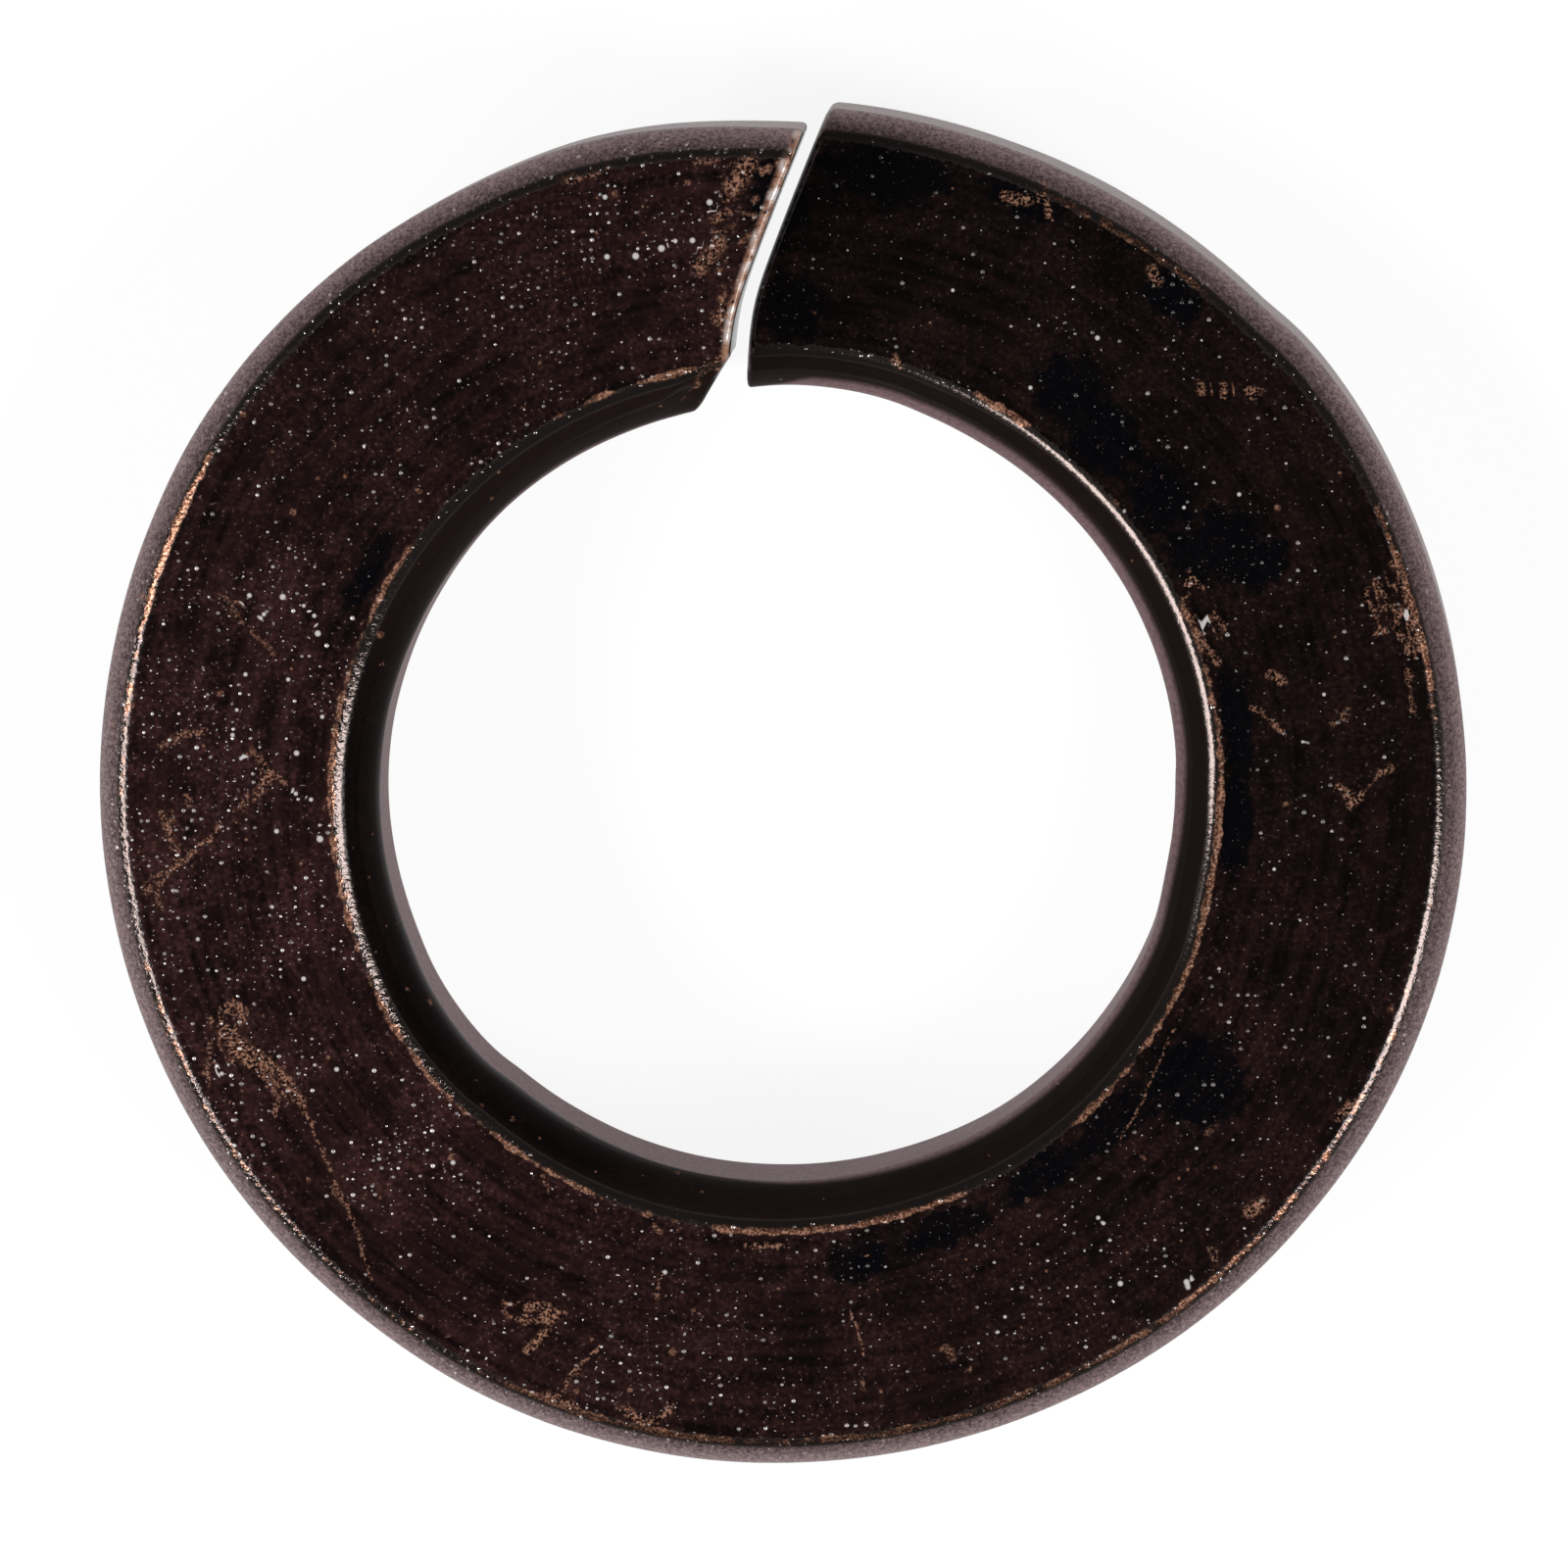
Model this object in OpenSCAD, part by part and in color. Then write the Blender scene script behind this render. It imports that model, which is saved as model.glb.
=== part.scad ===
// Spring lock washer for an 8 mm bolt: one turn of flat spring wire, coiled
// left-handed round the bore and sheared through at a slant, so that one end
// stands a wire's thickness above the other.
// +Z runs along the bore and +Y points to the split. The underside of the
// lower end touches Z = 0.

/* [Coil] */
// Diameter of the bore
bore_d = 8.4; // [6.5:0.05:10]
// Width of the wire, measured outward from the bore
wire_w = 3; // [2:0.05:4.5]
// Thickness of the wire, measured along the bore
wire_t = 2; // [1.5:0.05:3]
// Height that the coil climbs in a full turn
coil_rise = 2.08; // [1.6:0.01:3.2]

/* [Wire corners] */
// Radius of the wire's corners on the outside of the ring
outer_corner_r = 0.3; // [0.15:0.01:0.5]
// Radius of the wire's corners beside the bore
inner_corner_r = 0.45; // [0.2:0.01:0.55]

/* [Split] */
// Gap between the two ends, seen along the bore
split_gap = 0.07; // [0.03:0.01:0.5]
// Lean of the split from a radial line, over the outer part of the wire
split_lean = 23.5; // [0:0.5:30]
// Lean of the split from a radial line, next to the bore
split_lean_in = 4.5; // [0:0.5:15]
// Distance of the bend in the split from the bore
split_bend = 0.9; // [0.5:0.05:1.4]
// Lean of the sheared faces from the axis of the bore
face_lean = 1.5; // [0:0.5:6]

/* [Raised end] */
// Width of the chip broken off its corner beside the bore
chip_w = 0.5; // [0.2:0.05:0.8]
// Length of that chip along the wire
chip_len = 0.32; // [0.1:0.02:0.6]
// Extra width of the rounding beside the bore, right at the end
flare_w = 0.3; // [0:0.02:0.5]
// Length of wire over which that rounding widens
flare_len = 0.7; // [0.4:0.05:1.5]
// How far the outer side runs in from the coil's circle, right at the end
tuck = 0.13; // [0:0.01:0.25]
// Length of wire over which the outer side runs in
tuck_len = 2.3; // [0.8:0.1:3]

/* [Hidden] */

// Angle of the split's own direction, from +X
SPLIT_AT = 90;
// Softness of the bend in the split
BEND_SOFT = 0.35;

// Steps along the wire: short ones near the raised end, then even ones
END_SHARE = 0.05;
END_STEPS = 8;
STEPS = 92;
// Steps round each corner and across each flat
CORNER_STEPS = 5;
FLAT_STEPS = 6;

bore_r = bore_d / 2;
outer_r = bore_r + wire_w;
mid_r = bore_r + wire_w / 2;
turn_len = 2 * PI * mid_r;
free_height = coil_rise + wire_t;

// How much is left of an effect that fades out over a length of wire
function fade(s, len) = s < len ? (1 + cos(180 * s / len)) / 2 : 0;

// Angle that spans an arc of length len at radius r
function arc_angle(len, r) = len / r * 180 / PI;

// Sideways run of the split at radius r: two straight leans joined by a bend
function split_run(r) =
    let (d = r - bore_r - split_bend)
    tan(split_lean_in) * d
    + (tan(split_lean) - tan(split_lean_in)) * (d + sqrt(d * d + BEND_SOFT * BEND_SOFT)) / 2;

// Angle of the split at radius r and at height z above the wire's middle
function split_angle(r, z) =
    SPLIT_AT + asin((split_run(mid_r) - split_run(r)) / r) - arc_angle(tan(face_lean) * z, r);

// Length of the chip at radius r
function chip(r) = chip_len * max(0, min(1, (bore_r + chip_w - r) / chip_w));

// Angles of the two end faces
function raised_end(r, z) = split_angle(r, z) + arc_angle(split_gap / 2 + chip(r), r);
function lower_end(r, z) = split_angle(r, z) + 360 - arc_angle(split_gap / 2, r);

// Angle where the underside of the lower end comes down furthest
tip_angle = lower_end(bore_r + inner_corner_r, -wire_t / 2);

// Height of the wire's middle at an angle: it sinks by coil_rise in a turn
function mid_height(angle) = wire_t / 2 + coil_rise * (tip_angle - angle) / 360;

// A point of the coil: u runs from 0 at the raised end to 1 at the lower end
function coil_point(u, r, z) =
    let (
        start = raised_end(r, z),
        angle = start + u * (lower_end(r, z) - start)
    )
    [r * cos(angle), r * sin(angle), mid_height(angle) + z];

// Half of the wire's outline below its middle, from the bore outward, as
// [radius, height]. Its first chord crosses the bore's wall, which trims it.
function lower_half(outer, corner_w) =
    let (
        step = 90 / CORNER_STEPS,
        floor_z = -wire_t / 2,
        flat_start = bore_r + corner_w,
        flat_end = outer - outer_corner_r
    )
    concat(
        [[
            bore_r - corner_w * (1 - cos(step)),
            floor_z + inner_corner_r * (1 + sin(step))
        ]],
        [for (i = [1:CORNER_STEPS]) [
            flat_start - corner_w * cos(i * step),
            floor_z + inner_corner_r * (1 - sin(i * step))
        ]],
        [for (i = [1:FLAT_STEPS]) [
            flat_start + (flat_end - flat_start) * i / FLAT_STEPS,
            floor_z
        ]],
        [for (i = [1:CORNER_STEPS]) [
            flat_end + outer_corner_r * sin(i * step),
            floor_z + outer_corner_r * (1 - cos(i * step))
        ]]
    );

// Whole outline of the wire: the lower half, then its mirror image back again
function wire_outline(u) =
    let (
        s = u * turn_len,
        half = lower_half(
            outer_r - tuck * fade(s, tuck_len),
            inner_corner_r + flare_w * fade(s, flare_len)
        )
    )
    concat(half, [for (i = [len(half) - 1:-1:0]) [half[i][0], -half[i][1]]]);

// The coiled wire as one closed skin, with its inner side still square
module coil() {
    stations = concat(
        [for (i = [0:END_STEPS - 1]) END_SHARE * i / END_STEPS],
        [for (i = [0:STEPS]) END_SHARE + (1 - END_SHARE) * i / STEPS]
    );
    last = len(stations) - 1;
    ring = len(wire_outline(0));
    points = [for (u = stations) for (p = wire_outline(u)) coil_point(u, p[0], p[1])];
    sides = [
        for (k = [0:last - 1], i = [0:ring - 1])
            let (
                j = (i + 1) % ring,
                a = k * ring + i,
                b = k * ring + j,
                c = (k + 1) * ring + j,
                d = (k + 1) * ring + i
            )
            each [[a, b, c], [a, c, d]]
    ];
    raised_face = [
        for (i = [0:ring / 2 - 2])
            let (j = ring - 1 - i)
            each [[i, j - 1, i + 1], [i, j, j - 1]]
    ];
    base = last * ring;
    lower_face = [for (f = raised_face) [base + f[0], base + f[2], base + f[1]]];
    polyhedron(points = points, faces = concat(sides, raised_face, lower_face), convexity = 6);
}

module lock_washer() {
    color([0.17, 0.12, 0.11])
        difference() {
            coil();
            translate([0, 0, -wire_t])
                cylinder(r = bore_r, h = free_height + 2 * wire_t, $fn = 180);
        }
}

lock_washer();
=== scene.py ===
"""A blackened spring lock washer, lying on a white table and seen from above.

The washer is bent from a straight bar of flat wire by a node tree, in the same
frame and to the same sizes as the CAD solid that it stands for.
"""

from math import asin, cos, pi, radians, sin, sqrt, tan

import bpy
from mathutils import Matrix, Vector


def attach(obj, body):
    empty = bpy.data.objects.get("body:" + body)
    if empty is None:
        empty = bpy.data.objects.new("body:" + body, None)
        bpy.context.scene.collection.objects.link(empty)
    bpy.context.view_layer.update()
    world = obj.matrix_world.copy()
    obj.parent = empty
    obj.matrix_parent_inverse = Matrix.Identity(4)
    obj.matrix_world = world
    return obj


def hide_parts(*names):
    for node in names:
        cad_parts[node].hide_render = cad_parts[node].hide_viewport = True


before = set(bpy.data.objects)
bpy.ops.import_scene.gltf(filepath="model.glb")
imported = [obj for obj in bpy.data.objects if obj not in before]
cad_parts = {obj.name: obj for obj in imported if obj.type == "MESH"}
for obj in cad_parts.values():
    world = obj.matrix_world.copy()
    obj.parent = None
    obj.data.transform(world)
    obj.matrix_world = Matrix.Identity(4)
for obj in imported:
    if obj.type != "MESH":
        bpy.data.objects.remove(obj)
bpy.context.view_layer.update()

MM = 0.001

# Sizes of the washer, the same as in the part's source, in metres
BORE_R = 4.2 * MM
WIRE_W = 3.0 * MM
WIRE_T = 2.0 * MM
COIL_RISE = 2.08 * MM
OUTER_CORNER_R = 0.3 * MM
INNER_CORNER_R = 0.45 * MM
MID_R = BORE_R + WIRE_W / 2
TURN_LEN = 2 * pi * MID_R

# The split: its gap, its two leans from a radial line and the lean of its faces
SPLIT_GAP = 0.07 * MM
SPLIT_LEAN = radians(23.5)
SPLIT_LEAN_IN = radians(4.5)
SPLIT_BEND = 0.9 * MM
BEND_SOFT = 0.35 * MM
FACE_LEAN = radians(1.5)

# The raised end: the chip at its inner corner, the wide rounding and the tuck
CHIP_W = 0.5 * MM
CHIP_LEN = 0.32 * MM
FLARE_W = 0.3 * MM
FLARE_LEN = 0.7 * MM
TUCK = 0.13 * MM
TUCK_LEN = 2.3 * MM

# Powers of the two corners' curves: 2 is a circle, less breaks faster from the flat
OUTER_CORNER_POWER = 1.35
INNER_CORNER_POWER = 1.45

# Radius of the worn edges of the two sheared faces
CUT_EDGE_R = 0.075 * MM

# Cells along the wire, across it and through its thickness
CELLS_ALONG = 460
CELLS_ACROSS = 56
CELLS_THICK = 36
# Share by which cells close up towards the two ends
END_CROWDING = 0.82

# Departures of the coil's outer and inner side from true circles: the angle from
# +X in degrees and the height in millimetres, positive away from the axis
OUTER_SWELL = [(0, 0.04), (18, 0.035), (34, 0.06), (44, -0.01), (66, -0.025), (90, 0.01), (112, 0.0),
               (134, 0.035), (156, 0.0), (176, -0.025), (225, -0.025), (250, 0.01), (285, -0.015),
               (318, 0.0), (334, 0.03), (360, 0.04)]
INNER_SWELL = [(0, -0.04), (24, -0.01), (50, -0.015), (66, 0.0), (84, 0.04), (104, -0.01), (120, -0.015),
               (150, 0.0), (174, 0.035), (198, 0.05), (213, 0.085), (226, 0.03), (250, -0.01), (278, -0.028),
               (305, 0.02), (334, 0.02), (348, -0.045), (360, -0.04)]
SWELL_RANGE = 0.2 * MM

# Unevenness of the rolled skin: height and size of the waves, and the finer ones on them
WAVE_HEIGHT = 0.010 * MM
WAVE_SIZE = 1.6 * MM
WAVE_DETAIL = 2.0
WAVE_ROUGHNESS = 0.45

# A length or share that is as good as none
TINY = 1e-9

# The camera looks down on the washer from a distance, a little from its split
# side and from its right
CAMERA_DISTANCE = 94.86 * MM
CAMERA_LENS = 204.5
CAMERA_SENSOR = 36.0
CAMERA_BACK = 0.1205
CAMERA_SIDE = 0.0583
CAMERA_ROLL = 0.0347
CAMERA_SHIFT = (-0.00054, 0.00094)
CAMERA_CLIP = 0.001

# The table: its half width, how far it is below the washer, its paint, the share of it
# that shows its shadow to the camera, and its glow
TABLE_HALF = 0.6
TABLE_DROP = 0.02 * MM
TABLE_PAINT = (0.82, 0.82, 0.82, 1.0)
SHADOW_SHARE = (0.16, 0.16, 0.16, 1.0)
TABLE_GLOW = 0.90

# The soft boxes: place, size round the ring and size up and down, and power
SOFT_BOXES = [
    ("left_box", (-0.0834, -0.0303, 0.1057), (0.085, 0.036), 0.118),
    ("right_box", (0.0725, -0.0323, 0.1090), (0.038, 0.055), 0.084),
]
SOFT_BOX_AIM = (0, 0, 0.002)
ROOM_GREY = (0.055, 0.055, 0.055, 1.0)


class NodeSketch:
    """Short ways to add and wire nodes in a tree; it is called sk wherever it is used."""

    def __init__(self, tree):
        self.tree = tree

    def add(self, kind, inputs=None, **settings):
        node = self.tree.nodes.new(kind)
        for name, value in settings.items():
            setattr(node, name, value)
        for socket, value in (inputs or {}).items():
            self.feed(node.inputs[socket], value)
        return node

    def feed(self, socket, value):
        if isinstance(value, bpy.types.NodeSocket):
            self.tree.links.new(value, socket)
        elif value is not None:
            socket.default_value = value

    def math(self, operation, *values):
        return self.add("ShaderNodeMath", dict(enumerate(values)), operation=operation).outputs[0]

    def plus(self, a, b):
        return self.math("ADD", a, b)

    def minus(self, a, b):
        return self.math("SUBTRACT", a, b)

    def times(self, a, b):
        return self.math("MULTIPLY", a, b)

    def over(self, a, b):
        return self.math("DIVIDE", a, b)

    def most(self, a, b):
        return self.math("MAXIMUM", a, b)

    def least(self, a, b):
        return self.math("MINIMUM", a, b)

    def root(self, a):
        return self.math("SQRT", a)

    def square(self, a):
        return self.times(a, a)

    def ramp(self, value, none_at, full_at):
        """0 where value is none_at, rising softly to 1 where it is full_at."""
        inputs = {"Value": value, "From Min": none_at, "From Max": full_at}
        return self.add("ShaderNodeMapRange", inputs, interpolation_type="SMOOTHSTEP").outputs[0]

    def apart(self, vector):
        node = self.add("ShaderNodeSeparateXYZ", {0: vector})
        return node.outputs[0], node.outputs[1], node.outputs[2]

    def together(self, x, y, z):
        return self.add("ShaderNodeCombineXYZ", {0: x, 1: y, 2: z}).outputs[0]

    def vector(self, operation, a, b):
        return self.add("ShaderNodeVectorMath", {0: a, 1: b}, operation=operation).outputs["Vector"]

    def shifted(self, a, b):
        return self.vector("ADD", a, b)

    def dot(self, a, b):
        return self.add("ShaderNodeVectorMath", {0: a, 1: b}, operation="DOT_PRODUCT").outputs["Value"]

    def length(self, a):
        return self.add("ShaderNodeVectorMath", {0: a}, operation="LENGTH").outputs["Value"]

    def scaled(self, a, factor):
        inputs = {0: a, "Scale": factor}
        return self.add("ShaderNodeVectorMath", inputs, operation="SCALE").outputs["Vector"]

    def noise(self, vector, size, detail):
        """Noise from 0 to 1 whose largest spots are about size across."""
        inputs = {"Vector": vector, "Scale": 1 / size, "Detail": detail}
        return self.add("ShaderNodeTexNoise", inputs).outputs[0]

    def noise_vector(self, vector, size):
        """Three noises round 0 at once, for shaking a pattern."""
        node = self.add("ShaderNodeTexNoise", {"Vector": vector, "Scale": 1 / size, "Detail": 2.0})
        return self.vector("SUBTRACT", node.outputs["Color"], (0.5, 0.5, 0.5))

    def band(self, value, middle, half_width):
        """1 where value is middle, falling softly to 0 at half_width on both sides."""
        return self.ramp(self.math("ABSOLUTE", self.minus(value, middle)), half_width, 0.0)

    def blend(self, factor, a, b):
        """Colour a where factor is 0, colour b where it is 1."""
        node = self.add("ShaderNodeMix", data_type="RGBA", clamp_factor=True)
        self.feed(node.inputs["Factor"], factor)
        colours = [socket for socket in node.inputs if socket.type == "RGBA"]
        self.feed(colours[0], a)
        self.feed(colours[1], b)
        return [socket for socket in node.outputs if socket.type == "RGBA"][0]

    def kept(self, name):
        """A vector that the washer's node tree kept on the mesh."""
        node = self.add("ShaderNodeAttribute", attribute_name=name, attribute_type="GEOMETRY")
        return node.outputs["Vector"]

    def mixed(self, factor, a, b):
        """Number a where factor is 0, number b where it is 1."""
        return self.plus(a, self.times(factor, self.minus(b, a)))

    def group(self, tree, inputs):
        node = self.tree.nodes.new("ShaderNodeGroup")
        node.node_tree = tree
        for name, value in inputs.items():
            self.feed(node.inputs[name], value)
        return node


# What the finish's patterns are made of
#
# Angles are in degrees from +X and run against the clock seen from above. Radii, widths
# and sizes in this part are in millimetres.

# How strongly the wear shows along the inner and the outer edge of the upper face
INNER_EDGE_WEAR = [
    (0, 0.85), (10, 0.75), (16, 0.7), (24, 0.6), (30, 0.25), (40, 0.35), (50, 0.25), (54, 0.5), (56, 0.95),
    (61, 0.9), (63, 0.3), (70, 0.15), (92, 0.1), (97, 0.5), (99, 0.9), (106, 0.85), (107.5, 0.2), (109, 0.75),
    (113, 0.7), (114, 0.3), (117, 0.65), (119, 0.2), (140, 0.3), (145, 0.8), (152, 0.85), (155, 0.35),
    (160, 0.5), (165, 0.8), (190, 0.8), (198, 0.6), (200, 0.15), (203, 0.75), (228, 0.6), (233, 0.85),
    (243, 0.7), (246, 0.35), (250, 0.5), (258, 0.15), (260, 1.0), (292, 1.0), (294, 0.45), (302, 0.3),
    (310, 0.25), (311, 0.95), (316, 0.9), (318, 0.5), (324, 0.75), (332, 0.85), (340, 0.95), (350, 0.95),
    (360, 0.85),
]
OUTER_EDGE_WEAR = [
    (0, 0.4), (8, 0.7), (11, 0.95), (19, 0.95), (24, 0.6), (30, 0.35), (38, 0.3), (47, 0.5), (50, 0.8),
    (58, 0.75), (62, 0.6), (66, 0.5), (68, 0.1), (100, 0.1), (103, 0.5), (107, 0.45), (110, 0.15), (144, 0.3),
    (152, 1.0), (159, 0.95), (164, 0.5), (188, 0.4), (200, 0.55), (240, 0.45), (247, 0.95), (257, 0.8),
    (261, 0.9), (267, 0.6), (276, 0.9), (281, 0.85), (295, 0.75), (302, 0.9), (312, 0.85), (319, 0.65),
    (330, 0.6), (340, 0.3), (350, 0.25), (360, 0.4),
]
# Warmth of the oxide round the ring: 1 is red-brown, 0 is neutral black
WARMTH = [(0, 0.22), (30, 0.2), (60, 0.17), (84, 0.25), (95, 0.65), (107, 0.55), (120, 0.5), (150, 0.7),
          (180, 1.0), (220, 1.0), (250, 0.75), (285, 0.45), (320, 0.38), (360, 0.22)]

# Height that keeps the marks of the two faces apart, and the step between a mark's points
MARK_LIFT = 20.0
MARK_STEP = 0.02
# How much wider than its core a mark's ragged edge reaches
MARK_SPREAD = 1.5
# Share of a nick glint's written size that it takes up
NICK_GLINT_SPREAD = 0.8

# Scratches and rubbed places on the upper face: points (angle, radius), half width, strength
UPPER_MARKS = [
    # along the raised end
    ([(90.2, 6.76), (90.8, 6.62), (91.8, 6.48)], 0.09, 0.75),
    ([(92.4, 6.22), (93.8, 6.16)], 0.05, 0.6),
    ([(93.4, 5.92), (94.6, 5.82), (95.8, 5.68)], 0.075, 0.75),
    ([(92.8, 5.22), (94.4, 5.16)], 0.08, 0.75),
    ([(93.2, 6.78), (94.8, 6.80)], 0.045, 0.5),
    ([(93.2, 4.80), (95.6, 4.68), (97.6, 4.62)], 0.04, 0.85),
    ([(103.4, 6.88), (106.0, 6.86)], 0.045, 0.6),
    # left side
    ([(157.6, 6.20), (159.3, 5.93), (160.6, 5.66), (161.6, 5.50)], 0.03, 0.35),
    ([(171.1, 6.03), (171.6, 6.17), (171.8, 6.31), (173.2, 6.50)], 0.04, 0.6),
    ([(172.6, 5.53), (173.6, 5.45)], 0.04, 0.4),
    ([(175.0, 5.34), (176.5, 5.40), (177.2, 5.45)], 0.055, 0.8),
    ([(175.6, 5.22), (176.3, 5.16)], 0.035, 0.6),
    ([(178.4, 5.64), (179.0, 5.63)], 0.045, 0.45),
    ([(177.8, 6.20), (178.4, 6.20)], 0.045, 0.6),
    ([(179.4, 6.48), (180.0, 6.46)], 0.045, 0.6),
    ([(180.9, 6.43), (182.0, 6.40)], 0.045, 0.6),
    ([(180.8, 5.88), (182.2, 6.00), (183.4, 6.19), (184.3, 6.32), (185.2, 6.50), (186.6, 6.65)], 0.028, 0.7),
    ([(183.8, 6.28), (184.6, 6.38)], 0.055, 0.5),
    ([(185.4, 6.54), (186.2, 6.72)], 0.06, 0.45),
    ([(187.2, 6.62), (188.2, 6.60)], 0.04, 0.4),
    # the long looped scratch, lower left
    ([(198.4, 6.16), (199.4, 6.30), (200.0, 6.36)], 0.03, 0.6),
    ([(201.3, 6.52), (202.4, 6.60), (203.3, 6.65), (203.6, 6.74), (204.8, 6.74)], 0.03, 0.65),
    ([(199.4, 6.42), (198.8, 6.24), (199.4, 6.06), (200.6, 6.10), (201.2, 6.22), (200.6, 6.32)], 0.026, 0.8),
    ([(200.6, 6.34), (202.4, 6.34), (204.0, 6.30), (205.6, 6.22)], 0.06, 0.8),
    ([(203.4, 6.34), (205.4, 6.20), (206.4, 6.10)], 0.065, 0.85),
    ([(203.0, 6.24), (204.0, 6.15), (205.6, 6.07), (207.2, 6.02), (209.2, 6.00), (211.0, 6.00)], 0.05, 0.8),
    ([(206.0, 6.20), (208.2, 6.17), (210.3, 6.24), (210.6, 6.34)], 0.03, 0.7),
    ([(210.4, 6.00), (213.9, 6.08), (217.3, 6.16), (220.3, 6.30)], 0.024, 0.6),
    ([(219.8, 6.30), (221.2, 6.30)], 0.04, 0.5),
    ([(222.0, 6.36), (224.0, 6.42), (226.0, 6.60), (228.0, 6.72)], 0.024, 0.5),
    # below
    ([(236.4, 4.76), (237.9, 4.85)], 0.022, 0.5),
    ([(239.6, 6.14), (239.9, 6.22), (240.8, 6.27), (242.3, 6.22)], 0.028, 0.8),
    ([(242.1, 6.08), (242.7, 5.98), (244.0, 5.97), (245.4, 5.99)], 0.042, 0.85),
    ([(244.4, 6.05), (244.6, 6.22), (244.2, 6.36), (243.7, 6.50)], 0.045, 0.85),
    ([(250.3, 6.16), (248.9, 6.43), (248.1, 6.60), (248.3, 6.80)], 0.022, 0.75),
    ([(249.0, 6.52), (248.2, 6.60)], 0.04, 0.6),
    ([(246.8, 6.88), (249.8, 6.92)], 0.045, 0.9),
    ([(251.5, 4.76), (253.4, 4.82)], 0.025, 0.6),
    ([(253.6, 6.78), (255.0, 6.79), (255.6, 6.86)], 0.05, 0.85),
    ([(254.2, 5.28), (254.4, 5.38), (254.3, 5.50)], 0.03, 0.6),
    ([(256.9, 6.82), (257.4, 6.74), (258.1, 6.64)], 0.035, 0.8),
    ([(258.4, 5.54), (259.2, 5.60)], 0.03, 0.5),
    ([(264.0, 4.80), (268.5, 4.80)], 0.03, 0.75),
    ([(275.9, 5.57), (276.4, 5.80), (276.55, 6.04)], 0.016, 0.9),
    ([(276.0, 6.20), (276.0, 6.42)], 0.02, 0.5),
    ([(284.7, 6.17), (285.1, 6.27)], 0.05, 0.6),
    # lower right
    ([(311.4, 6.66), (311.0, 6.80)], 0.035, 0.6),
    ([(312.0, 5.15), (314.0, 5.10), (317.7, 5.03), (321.7, 4.93), (327.0, 4.84)], 0.016, 0.65),
    ([(316.2, 6.66), (317.8, 6.72)], 0.065, 0.9),
    ([(319.4, 5.76), (320.2, 5.80)], 0.05, 0.35),
    ([(328.0, 6.82), (329.8, 6.88)], 0.05, 0.8),
    # right side
    ([(358.7, 5.90), (358.2, 5.97)], 0.045, 0.85),
    ([(357.2, 6.02), (358.2, 6.12)], 0.055, 0.95),
    ([(358.2, 6.12), (359.6, 6.27)], 0.014, 0.4),
    ([(359.8, 6.28), (360.6, 6.42)], 0.045, 0.9),
    ([(8.4, 5.06), (7.3, 5.19)], 0.03, 0.7),
    ([(6.2, 5.27), (4.8, 5.36)], 0.03, 0.8),
    ([(5.4, 5.88), (6.4, 6.04)], 0.04, 0.45),
    ([(12.0, 5.30), (10.7, 5.43)], 0.045, 0.8),
    ([(5.8, 6.72), (6.6, 6.70)], 0.035, 0.6),
    ([(9.4, 6.72), (8.2, 6.73)], 0.035, 0.5),
    ([(18.6, 6.90), (16.5, 6.93), (14.4, 6.93), (12.6, 6.90), (11.0, 6.90)], 0.050, 0.75),
    ([(17.8, 6.66), (15.8, 6.70)], 0.03, 0.6),
    ([(17.2, 6.52), (15.6, 6.53), (14.6, 6.56)], 0.03, 0.6),
    ([(13.3, 6.50), (13.45, 6.71), (14.6, 6.80)], 0.035, 0.85),
    ([(13.45, 6.71), (12.2, 6.72), (11.4, 6.80)], 0.035, 0.7),
    ([(23.2, 4.66), (19.3, 4.69), (16.9, 4.73), (14.9, 4.80)], 0.040, 0.8),
    ([(20.6, 4.92), (18.4, 4.98)], 0.035, 0.55),
    ([(26.8, 4.88), (24.2, 4.93)], 0.028, 0.8),
    ([(25.6, 4.80), (25.0, 4.84)], 0.025, 0.6),
    # upper right
    ([(40.0, 6.28), (40.8, 6.33)], 0.035, 0.8),
    ([(38.4, 6.46), (39.0, 6.50), (38.2, 6.55)], 0.04, 0.8),
    ([(41.8, 6.12), (42.6, 6.16)], 0.035, 0.55),
    ([(52.8, 6.74), (52.0, 6.68)], 0.06, 0.75),
    ([(67.6, 6.70), (66.4, 6.72), (65.6, 6.76)], 0.055, 0.75),
    ([(64.8, 6.95), (64.2, 6.85), (63.4, 6.70)], 0.04, 0.8),
    ([(73.6, 4.70), (73.0, 4.66)], 0.055, 0.85),
]
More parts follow.
